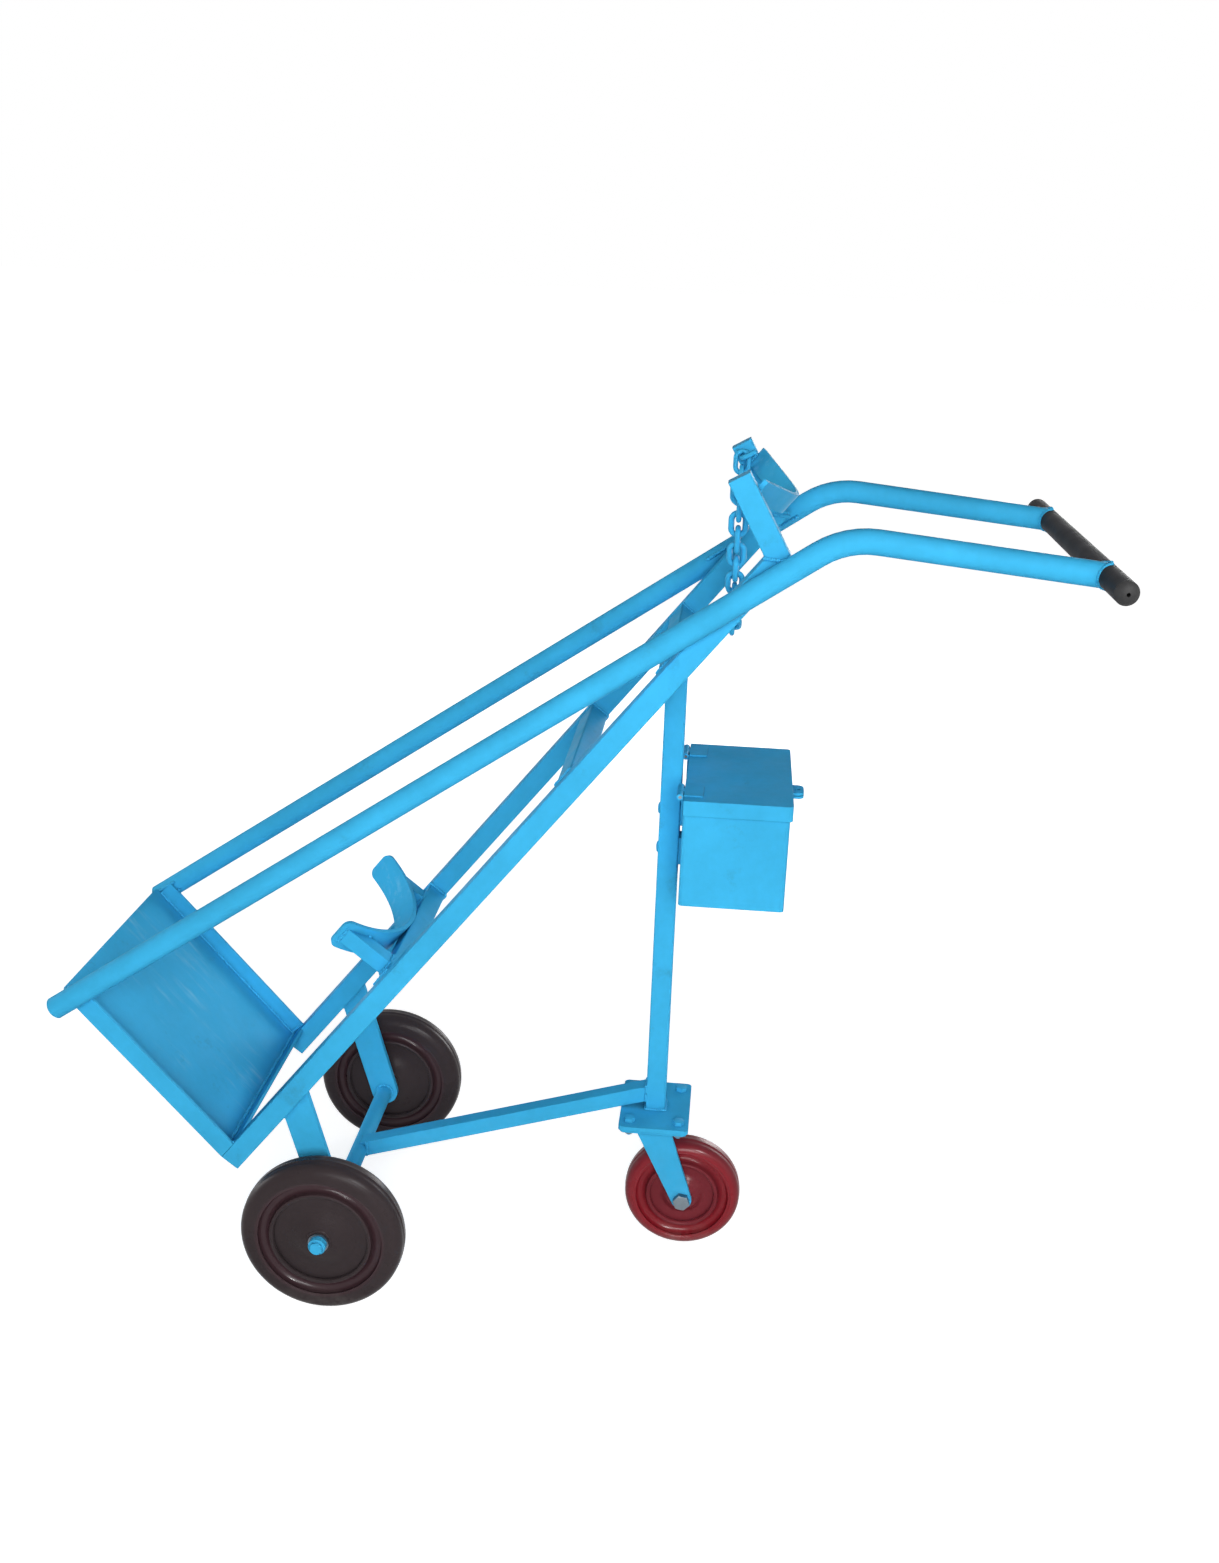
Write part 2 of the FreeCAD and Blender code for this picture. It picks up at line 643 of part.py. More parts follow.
def make_castor():
    """Swivel castor: top plate with its race and kingpin, fork, wheel, bush and axle bolt."""
    plate_bottom = castor_height - castor_plate_thickness
    half = castor_plate_size / 2
    across = castor_plate_width / 2
    plate = block(swivel_x - half, swivel_x + half, -across, across, plate_bottom, castor_height)
    plate = plate.makeFillet(mount_plate_corner, upright_edges(plate))
    plate = plate.cut(castor_bolt_holes(plate_bottom, castor_height))
    pin_hole = round_along_z(kingpin_diameter, plate_bottom, castor_height, swivel_x, 0)
    parts["castor_top_plate"] = plate.cut(pin_hole)
    race_bottom = plate_bottom - race_height
    race = round_along_z(race_outer_diameter, race_bottom, plate_bottom, swivel_x, 0)
    race = race.cut(round_along_z(kingpin_diameter, race_bottom, plate_bottom, swivel_x, 0))
    rim = [e for e in race.Edges if e.BoundBox.ZMax < race_bottom + 1e-3]
    rim = [e for e in rim if e.BoundBox.XLength > kingpin_diameter + 1]
    parts["castor_race"] = race.makeChamfer(race_height / 4, rim)

    crown_top = race_bottom - swivel_gap
    crown_bottom = crown_top - crown_thickness
    head_top = crown_bottom - swivel_gap
    pin = round_along_z(kingpin_diameter, head_top, castor_height, swivel_x, 0)
    head = round_along_z(kingpin_head_diameter, head_top - kingpin_head_height, head_top, swivel_x, 0)
    parts["castor_kingpin"] = pin.fuse(head).removeSplitter()

    axle_x = swivel_x + castor_trail
    axle_z = castor_wheel_radius
    inner = castor_hub_length / 2 + side_clearance
    outer = inner + fork_leg_thickness
    half = crown_length / 2
    crown = block(swivel_x - half, swivel_x + half, -outer, outer, crown_bottom, crown_top)
    fork = crown
    for y0 in (-outer, inner):
        first = (swivel_x + half, crown_bottom)
        second = (swivel_x - half, crown_bottom)
        leg = lug(first, second, (axle_x, axle_z), fork_eye_radius, y0, y0 + fork_leg_thickness)
        fork = fork.fuse(leg)
    fork = fork.removeSplitter()
    shoulders = [e for e in fork.Edges if abs(e.BoundBox.XLength - crown_length) < 1e-3]
    shoulders = [e for e in shoulders if abs(e.CenterOfMass.z - crown_top) < 1e-3]
    shoulders = [e for e in shoulders if abs(abs(e.CenterOfMass.y) - outer) < 1e-3]
    fork = fork.makeFillet(fork_leg_thickness * 0.8, shoulders)
    pin_bore = round_along_z(kingpin_diameter + 2 * running_clearance, crown_bottom, crown_top, swivel_x, 0)
    fork = fork.cut(pin_bore)
    parts["castor_fork"] = fork.cut(round_along_y(castor_axle_diameter, -outer, outer, axle_x, axle_z))

    bush_diameter = castor_axle_diameter + 2 * bush_wall
    wheel = wheel_solid(
        castor_wheel_diameter, castor_wheel_width, castor_hub_diameter, castor_hub_length, castor_hub_flare,
        castor_rim_depth, castor_web_thickness, castor_tread_radius, bush_diameter,
    )
    wheel.translate(V(axle_x, 0, axle_z))
    parts["castor_wheel"] = wheel
    hub = castor_hub_length / 2
    bore = round_along_y(castor_axle_diameter + 2 * running_clearance, -hub, hub, axle_x, axle_z)
    parts["castor_bush"] = round_along_y(bush_diameter, -hub, hub, axle_x, axle_z).cut(bore)
    grip = 2 * outer + castor_axle_diameter * hex_nut_height + axle_end_length
    parts["castor_axle_bolt"] = bolt(castor_axle_diameter, V(axle_x, -outer, axle_z), V(0, -1, 0), grip)
    parts["castor_axle_nut"] = nut(castor_axle_diameter, V(axle_x, outer, axle_z), V(0, 1, 0))

    clamped = castor_height - plate_bottom + mount_plate_thickness
    grip = clamped + castor_bolt_diameter * hex_nut_height + axle_end_length
    bolts = []
    nuts = []
    for x, y in castor_bolt_places():
        bolts.append(bolt(castor_bolt_diameter, V(x, y, mount_plate_top), V(0, 0, 1), grip))
        nuts.append(nut(castor_bolt_diameter, V(x, y, plate_bottom), V(0, 0, -1)))
    parts["castor_bolts"] = Part.makeCompound(bolts)
    parts["castor_nuts"] = Part.makeCompound(nuts)


# Places of the tool box, from the leg that carries it
box_back = swivel_x + half_bar + box_standoff
box_front = box_back + box_length
box_half = box_width / 2
lid_top = box_floor_height + box_height
lid_bottom = lid_top - sheet_thickness
box_rim = lid_bottom - lid_seat_gap
hinge_x = box_back - knuckle_radius
hinge_z = lid_top - sheet_thickness / 2


def box_bolt_heights():
    """Heights of the two bolts that hold the tool box on the leg."""
    inset = spacer_inset + spacer_height / 2
    return (box_floor_height + inset, box_floor_height + box_height - lid_lip_depth - inset)


def make_toolbox():
    """Sheet metal tool box with a hinged lid, bolted to the leg through two spacers."""
    body = block(box_back, box_front, -box_half, box_half, box_floor_height, box_rim)
    body = body.makeFillet(sheet_bend_radius, upright_edges(body))
    t = sheet_thickness
    hollow = block(box_back + t, box_front - t, -box_half + t, box_half - t, box_floor_height + t, box_rim)
    hollow = hollow.makeFillet(sheet_bend_radius - t, upright_edges(hollow))
    body = body.cut(hollow)
    spacers = []
    bolts = []
    nuts = []
    hole_diameter = box_bolt_diameter + bolt_hole_clearance
    leg_back = swivel_x + half_bar
    leg_front = swivel_x - half_bar
    for z in box_bolt_heights():
        hole = round_along_x(hole_diameter, leg_back, box_back + t, 0, z)
        body = body.cut(hole)
        spacer = block(leg_back, box_back, -half_bar, half_bar, z - spacer_height / 2, z + spacer_height / 2)
        spacers.append(spacer.cut(hole))
        grip = box_back + t - leg_front + box_bolt_diameter * hex_nut_height + axle_end_length
        bolts.append(button_bolt(box_bolt_diameter, V(leg_front, 0, z), V(-1, 0, 0), grip))
        nuts.append(nut(box_bolt_diameter, V(box_back + t, 0, z), V(1, 0, 0)))
    parts["toolbox_body"] = body
    parts["toolbox_spacers"] = Part.makeCompound(spacers)
    parts["toolbox_bolts"] = Part.makeCompound(bolts)
    parts["toolbox_nuts"] = Part.makeCompound(nuts)

    lip = lid_clearance + t
    lid_back = box_back + lid_back_gap
    lid_front = box_front + lip
    lid_half = box_half + lip
    lip_bottom = lid_top - lid_lip_depth
    lid = block(lid_back, lid_front, -lid_half, lid_half, lip_bottom, lid_top)
    corners = [e for e in upright_edges(lid) if e.CenterOfMass.x > lid_front - 1]
    lid = lid.makeFillet(sheet_bend_radius, corners)
    inside = block(lid_back, lid_front - t, -lid_half + t, lid_half - t, lip_bottom, lid_bottom)
    corners = [e for e in upright_edges(inside) if e.CenterOfMass.x > lid_front - t - 1]
    parts["toolbox_lid"] = lid.cut(inside.makeFillet(sheet_bend_radius - t, corners))

    make_lid_hinges()
    make_padlock_tabs(lid_front, lip_bottom)


def make_lid_hinges():
    """Two butt hinges on the back edge of the lid, with their pins along Y."""
    half = hinge_width / 2
    middle = knuckle_length / 2
    pin_diameter = hinge_pin_diameter
    box_leaves = []
    lid_leaves = []
    pins = []
    for y in (-hinge_offset, hinge_offset):
        barrel = round_along_y(2 * knuckle_radius, y - half, y + half, hinge_x, hinge_z)
        pin = round_along_y(pin_diameter, y - half, y + half, hinge_x, hinge_z)
        slot = block(
            hinge_x - bar_size, hinge_x + bar_size, y - middle - knuckle_gap, y + middle + knuckle_gap,
            hinge_z - knuckle_radius - knuckle_gap, hinge_z + bar_size,
        )
        plate_x = box_back - hinge_leaf_thickness
        plate = block(plate_x, box_back, y - half, y + half, hinge_z - hinge_leaf_length, hinge_z)
        box_leaves.append(barrel.fuse(plate).removeSplitter().cut(slot).cut(pin))

        knuckle = round_along_y(2 * knuckle_radius, y - middle, y + middle, hinge_x, hinge_z)
        top = lid_top + hinge_leaf_thickness
        strap = block(hinge_x, hinge_x + hinge_leaf_length, y - half, y + half, lid_top, top)
        for side in (-1, 1):
            notch_y = sorted((y + side * middle, y + side * half))
            strap = strap.cut(block(
                hinge_x - knuckle_radius, hinge_x + knuckle_radius + knuckle_gap,
                notch_y[0], notch_y[1], lid_top, top,
            ))
        bore = round_along_y(pin_diameter + 2 * running_clearance, y - half, y + half, hinge_x, hinge_z)
        lid_leaves.append(knuckle.fuse(strap).removeSplitter().cut(bore))
        pins.append(pin)
    parts["box_hinge_leaves"] = Part.makeCompound(box_leaves)
    parts["lid_hinge_leaves"] = Part.makeCompound(lid_leaves)
    parts["hinge_pins"] = Part.makeCompound(pins)


def make_padlock_tabs(lid_front, lip_bottom):
    """A tab on the lid over a tab on the box, both drilled for a padlock."""
    end = lid_front + tab_reach
    hole_x = lid_front + tab_reach / 2

    def tab(root, z):
        plate = block(root, end, -tab_width / 2, tab_width / 2, z, z + tab_thickness)
        outer = [e for e in upright_edges(plate) if e.CenterOfMass.x > end - 1]
        plate = plate.makeFillet(tab_width / 4, outer)
        return plate.cut(round_along_z(padlock_hole_diameter, z, z + tab_thickness, hole_x, 0))

    parts["lid_padlock_tab"] = tab(lid_front, lip_bottom)
    parts["box_padlock_tab"] = tab(box_front, lip_bottom - tab_gap - tab_thickness)


def chain_link():
    """One link along X: a wire of flat-sided section round two straight sides and two half-round ends."""
    wire_radius = chain_wire / 2
    bow = (chain_inner_width + chain_wire) / 2
    straight = chain_pitch / 2 + wire_radius - bow
    spine = []
    for end in (1, -1):
        for step in range(chain_bend_steps + 1):
            turn = math.pi * (step / chain_bend_steps - 0.5)
            spine.append(V(end * (straight + bow * math.cos(turn)), end * bow * math.sin(turn), 0))
    rings = []
    for index, point in enumerate(spine):
        arriving = (point - spine[index - 1]).normalize()
        leaving = (spine[(index + 1) % len(spine)] - point).normalize()
        outward = (arriving - leaving).normalize()
        stretch = 1 / math.sqrt((1 + arriving.dot(leaving)) / 2)
        ring = []
        for side in range(chain_wire_sides):
            turn = 2 * math.pi * (side + 0.5) / chain_wire_sides
            across = outward * (wire_radius * math.cos(turn) * stretch)
            ring.append(point + across + V(0, 0, wire_radius * math.sin(turn)))
        rings.append(ring)
    faces = []
    for index, ring in enumerate(rings):
        following = rings[(index + 1) % len(rings)]
        for side in range(chain_wire_sides):
            after = (side + 1) % chain_wire_sides
            corners = [ring[side], ring[after], following[after], following[side]]
            faces.append(Part.Face(Part.makePolygon(corners + corners[:1])))
    link = Part.Solid(Part.Shell(faces))
    if link.Volume < 0:
        link.reverse()
    return link


# Side-view point of the chain's pins, which is also the axis that the slack chain swings on
chain_pin_place = post_frame.multVec(V(-chain_pin_ahead, 0, chain_pin_up))
chain_axis = (chain_pin_place.x, chain_pin_place.z)
chain_seat_y = bar_inner_y - chain_seat_inset


def hanging_curve(half_span, length):
    """Size of the catenary of this length between two points at one height."""
    low = half_span / 20
    high = half_span * 20
    for _ in range(80):
        middle = (low + high) / 2
        if 2 * middle * math.sinh(half_span / middle) > length:
            low = middle
        else:
            high = middle
    return middle


def make_chain():
    """Slack chain hanging from a headed pin on the left post and an open hook on the right post."""
    first = chain_pitch / 2 - chain_pin_diameter / 2 - chain_pin_play
    step = chain_pitch - chain_play
    length = 2 * first + (chain_links - 1) * step
    size = hanging_curve(chain_seat_y, length)
    top = size * math.cosh(chain_seat_y / size)
    shape = chain_link()
    links = []
    for index in range(chain_links):
        arc = first + index * step - length / 2
        y = size * math.asinh(arc / size)
        centre = V(chain_axis[0], y, chain_axis[1] - top + size * math.cosh(y / size))
        along = V(0, 1, arc / size).normalize()
        across = V(1, 0, 0)
        if index % 2:
            across = V(1, 0, 0).cross(along)
        upright = along.cross(across)
        turn = FreeCAD.Rotation(along, across, upright, "XYZ")
        link = shape.copy()
        link.Placement = FreeCAD.Placement(centre, turn)
        links.append(link)
    parts["retaining_chain"] = Part.makeCompound(links)

    pin = round_along_y(chain_pin_diameter, -bar_inner_y, -bar_inner_y + chain_pin_length, *chain_axis)
    head_y = -bar_inner_y + chain_pin_length
    head = round_along_y(chain_pin_head_diameter, head_y, head_y + chain_pin_head_height, *chain_axis)
    parts["left_chain_pin"] = pin.fuse(head).removeSplitter()

    start = V(-chain_pin_ahead, bar_inner_y, chain_pin_up)
    turn_in = start - V(0, hook_straight, 0)
    reach = hook_bend_radius * math.sqrt(0.5)
    middle = turn_in + V(hook_bend_radius - reach, -reach, 0)
    turn_out = turn_in + V(hook_bend_radius, -hook_bend_radius, 0)
    path = Part.Wire([
        Part.LineSegment(start, turn_in).toShape(),
        Part.Arc(turn_in, middle, turn_out).toShape(),
        Part.LineSegment(turn_out, turn_out + V(hook_tip, 0, 0)).toShape(),
    ])
    section = Part.Wire(Part.makeCircle(chain_pin_diameter / 2, start, V(0, 1, 0)))
    parts["right_chain_hook"] = on_post(path.makePipeShell([section], True, False))


make_rear_bars()
make_toe_plate()
make_lower_saddle()
make_upper_saddle()
make_side_tubes()
make_handle()
make_leg()
make_front_wheels()
make_castor()
make_toolbox()
make_chain()

# The origin goes on the floor under the middle of the whole trolley
limits = [shape.optimalBoundingBox() for shape in parts.values()]
middle_x = (min(box.XMin for box in limits) + max(box.XMax for box in limits)) / 2
os.makedirs("parts", exist_ok=True)
for name, shape in parts.items():
    shape.translate(V(-middle_x, 0, 0))
    shape.exportStep(os.path.join("parts", name + ".step"))
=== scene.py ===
import json
import math

import bmesh
import bpy
from mathutils import Matrix, Vector


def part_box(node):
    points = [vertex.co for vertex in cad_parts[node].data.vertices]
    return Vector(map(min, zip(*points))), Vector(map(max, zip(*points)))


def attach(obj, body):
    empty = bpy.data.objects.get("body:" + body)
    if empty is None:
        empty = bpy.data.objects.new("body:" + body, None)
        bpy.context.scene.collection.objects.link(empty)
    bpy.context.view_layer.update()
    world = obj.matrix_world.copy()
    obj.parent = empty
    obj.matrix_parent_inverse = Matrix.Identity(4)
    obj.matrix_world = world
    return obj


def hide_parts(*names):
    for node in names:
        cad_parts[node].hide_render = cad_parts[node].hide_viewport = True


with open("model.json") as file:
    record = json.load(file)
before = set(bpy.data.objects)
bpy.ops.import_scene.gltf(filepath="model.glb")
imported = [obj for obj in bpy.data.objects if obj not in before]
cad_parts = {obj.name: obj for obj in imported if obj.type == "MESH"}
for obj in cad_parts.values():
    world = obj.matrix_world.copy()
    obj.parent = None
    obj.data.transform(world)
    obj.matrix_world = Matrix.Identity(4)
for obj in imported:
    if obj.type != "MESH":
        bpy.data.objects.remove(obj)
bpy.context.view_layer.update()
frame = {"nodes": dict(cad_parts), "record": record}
nodes = frame["nodes"]
scene = bpy.context.scene
scene.view_settings.view_transform = "Standard"

AHEAD = Vector((1.0, 0.0, 0.0))
ACROSS = Vector((0.0, 1.0, 0.0))
UPWARD = Vector((0.0, 0.0, 1.0))
SIDES = (-1, 1)

# Camera at the photograph's viewing angle, for an image of 1219 by 1563
IMAGE_HEIGHT = 1563
CAMERA_FOCAL_PIXELS = 1569.40
CAMERA_PLACE = (0.19593, -1.77642, 1.24910)
CAMERA_PITCH = 0.3333
CAMERA_YAW = -0.0765
CAMERA_ROLL = -0.0360
SENSOR = 36.0

# Wheels, leg and castor, in metres from the frame's origin on the floor under the trolley's middle
AXLE_X = -0.2534152
WHEEL_RADIUS = 0.100
WHEEL_Y = 0.191
AXLE = Vector((AXLE_X, 0.0, WHEEL_RADIUS))
AXLE_SLEEVE_RADIUS = 0.01065
LEG_FROM_AXLE = 0.388
LEG_X = AXLE_X + LEG_FROM_AXLE
MOUNT_PLATE_TOP = 0.196
CASTOR_PLATE_BOTTOM = 0.186
CASTOR_BOLT_HALF = 0.031
CASTOR_BOLT_HALF_ACROSS = 0.042
CASTOR_TRAIL = 0.040
CASTOR_RADIUS = 0.075
CASTOR_AXLE = Vector((LEG_X + CASTOR_TRAIL, 0.0, CASTOR_RADIUS))

# Leaning frame
LEAN = math.radians(51.5)
HEEL_BEFORE_AXLE = 0.1217
HEEL_HEIGHT = 0.1665
HEEL = Vector((AXLE_X - HEEL_BEFORE_AXLE, 0.0, HEEL_HEIGHT))
UP_BARS = Vector((math.cos(LEAN), 0.0, math.sin(LEAN)))
OUT_OF_BARS = Vector((-math.sin(LEAN), 0.0, math.cos(LEAN)))
HALF_BAR = 0.0125
BAR_Y = 0.145
BAR_INNER_Y = BAR_Y - HALF_BAR
BAR_OUTER_Y = BAR_Y + HALF_BAR
TUBE_RADIUS = 0.01345
TUBE_Y = BAR_OUTER_Y + TUBE_RADIUS
LOWER_SADDLE_ALONG = 0.310
MIDDLE_BAR_ALONG = 0.646
LEG_BAR_ALONG = (LEG_FROM_AXLE + HEEL_BEFORE_AXLE) / math.cos(LEAN)
CROSSING_ALONG = 0.944
BRACKET_ALONG = (0.090, 0.136)
BRACKET_HALF = 0.004

# Toe plate
PLATE_TILT = math.radians(10.0)
PLATE_DEPTH = 0.280
RAIL_THICKNESS = 0.004
RAIL_HEIGHT = 0.020
RAIL_INNER_Y = BAR_OUTER_Y - RAIL_THICKNESS
TUBE_FOOT_OUT = 0.010

# Saddles
SADDLE_OUTER_RADIUS = 0.123
SADDLE_SEAT_GAP = 0.0002
CRADLE_CENTRE_OUT = HALF_BAR + SADDLE_SEAT_GAP + SADDLE_OUTER_RADIUS
SADDLE_POST_Y = 0.098
SADDLE_POST_HALF = 0.010
SADDLE_THICKNESS = 0.005
UPPER_SADDLE_HALF_ANGLE = math.radians(24.0)
UPPER_SADDLE_WIDTH = 0.026
UPPER_SADDLE_SETBACK = 0.011

# Chain posts and handle
POST_ALONG = 0.988
POST_TILT = math.radians(22.0)
CHAIN_PIN_UP = 0.082
CHAIN_PIN_FORWARD = 0.005
HANDLE_RADIUS = 0.0125
BEND_AFTER_CROSSING = 0.113
HANDLE_RUN = 0.266
HANDLE_DROP = math.radians(5.5)


def cradle(along, y, out):
    """Point up the rear bars, across the trolley and out from the bars."""
    return HEEL + UP_BARS * along + OUT_OF_BARS * out + ACROSS * y


TOE_UP = UP_BARS * math.cos(PLATE_TILT) - OUT_OF_BARS * math.sin(PLATE_TILT)
TOE_FORWARD = OUT_OF_BARS * math.cos(PLATE_TILT) + UP_BARS * math.sin(PLATE_TILT)


def toe(up, y, forward):
    """Point up from the toe plate, across the trolley and forward from the rear bars."""
    return cradle(0.0, y, HALF_BAR) + TOE_UP * up + TOE_FORWARD * forward


POST_UP = OUT_OF_BARS * math.cos(POST_TILT) + UP_BARS * math.sin(POST_TILT)
POST_BACK = UP_BARS * math.cos(POST_TILT) - OUT_OF_BARS * math.sin(POST_TILT)
CHAIN_AXIS = cradle(POST_ALONG, 0.0, 0.0) + POST_UP * CHAIN_PIN_UP - POST_BACK * CHAIN_PIN_FORWARD
TUBE_FOOT = toe(TUBE_FOOT_OUT, 0.0, PLATE_DEPTH - TUBE_RADIUS)
CROSSING = cradle(CROSSING_ALONG, 0.0, 0.0)
CLIMB = (CROSSING - TUBE_FOOT).normalized()
HANDLE_WAY = Vector((math.cos(HANDLE_DROP), 0.0, -math.sin(HANDLE_DROP)))
HANDLE = CROSSING + CLIMB * BEND_AFTER_CROSSING + HANDLE_WAY * HANDLE_RUN


# Shader nodes

COLOUR = "NodeSocketColor"
FLOAT = "NodeSocketFloat"
MID_GREY = (0.5, 0.5, 0.5, 1.0)


def new_group(name, inputs, outputs):
    """Empty shader group, the outputs of its input node, and its output node."""
    group = bpy.data.node_groups.new(name, "ShaderNodeTree")
    for label, kind, value in inputs:
        socket = group.interface.new_socket(label, in_out="INPUT", socket_type=kind)
        socket.default_value = value
    for label, kind in outputs:
        group.interface.new_socket(label, in_out="OUTPUT", socket_type=kind)
    return group, group.nodes.new("NodeGroupInput").outputs, group.nodes.new("NodeGroupOutput")


def feed(tree, socket, source):
    """Links another node's output to a socket, or writes a plain number, vector or colour on it."""
    if isinstance(source, bpy.types.NodeSocket):
        tree.links.new(source, socket)
    elif socket.type == "RGBA":
        socket.default_value = (*source, 1.0)
    else:
        socket.default_value = source


def set_inputs(tree, node, **sources):
    """Feeds a node's sockets, by socket name with underscores for spaces."""
    for label, source in sources.items():
        feed(tree, node.inputs[label.replace("_", " ")], source)
    return node


def object_place(tree):
    """Coordinates on the piece itself."""
    return tree.nodes.new("ShaderNodeTexCoord").outputs["Object"]


def noise(tree, vector, scale, detail, roughness):
    """Noise over a vector, as a value."""
    node = tree.nodes.new("ShaderNodeTexNoise")
    set_inputs(tree, node, Vector=vector, Scale=scale, Detail=detail, Roughness=roughness)
    return node.outputs["Fac"]


def remap(tree, value, low, high, to_low=0.0, to_high=1.0):
    """Value moved from one range to another, and kept inside it."""
    node = tree.nodes.new("ShaderNodeMapRange")
    set_inputs(tree, node, Value=value, From_Min=low, From_Max=high, To_Min=to_low, To_Max=to_high)
    return node.outputs["Result"]


def math_node(tree, operation, first, second=0.0):
    """Result of an operation on one or two values."""
    node = tree.nodes.new("ShaderNodeMath")
    node.operation = operation
    feed(tree, node.inputs[0], first)
    feed(tree, node.inputs[1], second)
    return node.outputs["Value"]


def product(tree, first, *factors):
    """Product of several values."""
    for factor in factors:
        first = math_node(tree, "MULTIPLY", first, factor)
    return first


def vector_node(tree, operation, output, *sources):
    """Result of a vector operation, from the output of this name."""
    node = tree.nodes.new("ShaderNodeVectorMath")
    node.operation = operation
    for socket, source in zip(node.inputs, sources):
        tree.links.new(source, socket)
    return node.outputs[output]


def mix_colour(tree, blend, factor, first, second):
    """Second colour laid over the first one by a factor."""
    node = tree.nodes.new("ShaderNodeMix")
    node.data_type = "RGBA"
    node.blend_type = blend
    for index, source in ((0, factor), (6, first), (7, second)):
        feed(tree, node.inputs[index], source)
    return node.outputs[2]


# Shader groups

BEVEL_SAMPLES = 4
SHELTER_SAMPLES = 8
SHELTER_REACH = 0.012
SHADE_AND_SOIL_TINT = (0.12, 0.22, 0.30)
SMEAR_COLOUR = (0.030, 0.055, 0.075)
DUST_COLOUR = (0.36, 0.34, 0.31)
STREAK_STRETCH = 6.0


def make_paint_film():
    """Sprayed film: slow and fine shade changes, a rippled skin and patches of duller gloss."""
    group, given, out = new_group(
        "paint_film",
        [
            ("Colour", COLOUR, MID_GREY),
            ("Shade Spread", FLOAT, 0.1),
            ("Ripple Scale", FLOAT, 400.0),
            ("Gloss Low", FLOAT, 0.3),
            ("Gloss High", FLOAT, 0.5),
        ],
        [("Colour", COLOUR), ("Roughness", FLOAT), ("Height", FLOAT)],
    )
    place = object_place(group)
    slow = noise(group, place, scale=9.0, detail=3.0, roughness=0.55)
    fine = noise(group, place, scale=95.0, detail=4.0, roughness=0.6)
    shade = math_node(group, "ADD", product(group, slow, 0.7), product(group, fine, 0.3))
    darker = math_node(group, "SUBTRACT", 1.0, given["Shade Spread"])
    lighter = math_node(group, "ADD", 1.0, given["Shade Spread"])
    level = remap(group, shade, 0.35, 0.65, darker, lighter)
    grey = group.nodes.new("ShaderNodeCombineColor")
    for socket in grey.inputs[:3]:
        group.links.new(level, socket)
    colour = mix_colour(group, "MULTIPLY", 1.0, given["Colour"], grey.outputs["Color"])
    patches = noise(group, place, scale=28.0, detail=5.0, roughness=0.65)
    gloss = remap(group, patches, 0.35, 0.68, given["Gloss Low"], given["Gloss High"])
    ripple = noise(group, place, given["Ripple Scale"], detail=2.0, roughness=0.5)
    set_inputs(group, out, Colour=colour, Roughness=gloss, Height=ripple)
    return group


def make_edge_wear():
    """Rubbed edges: the finish goes thin where a corner is sharp, in broken patches."""
    group, given, out = new_group(
        "edge_wear",
        [
            ("Colour", COLOUR, MID_GREY),
            ("Worn Colour", COLOUR, MID_GREY),
            ("Edge Width", FLOAT, 0.002),
            ("Wear", FLOAT, 0.5),
        ],
        [("Colour", COLOUR)],
    )
    rounded = group.nodes.new("ShaderNodeBevel")
    rounded.samples = BEVEL_SAMPLES
    set_inputs(group, rounded, Radius=given["Edge Width"])
    flat = group.nodes.new("ShaderNodeNewGeometry").outputs["True Normal"]
    likeness = vector_node(group, "DOT_PRODUCT", "Value", rounded.outputs["Normal"], flat)
    sharp = remap(group, likeness, 0.97, 0.80)
    breaks = noise(group, object_place(group), scale=60.0, detail=6.0, roughness=0.7)
    mask = product(group, sharp, remap(group, breaks, 0.50, 0.66), given["Wear"])
    set_inputs(group, out, Colour=mix_colour(group, "MIX", mask, given["Colour"], given["Worn Colour"]))
    return group


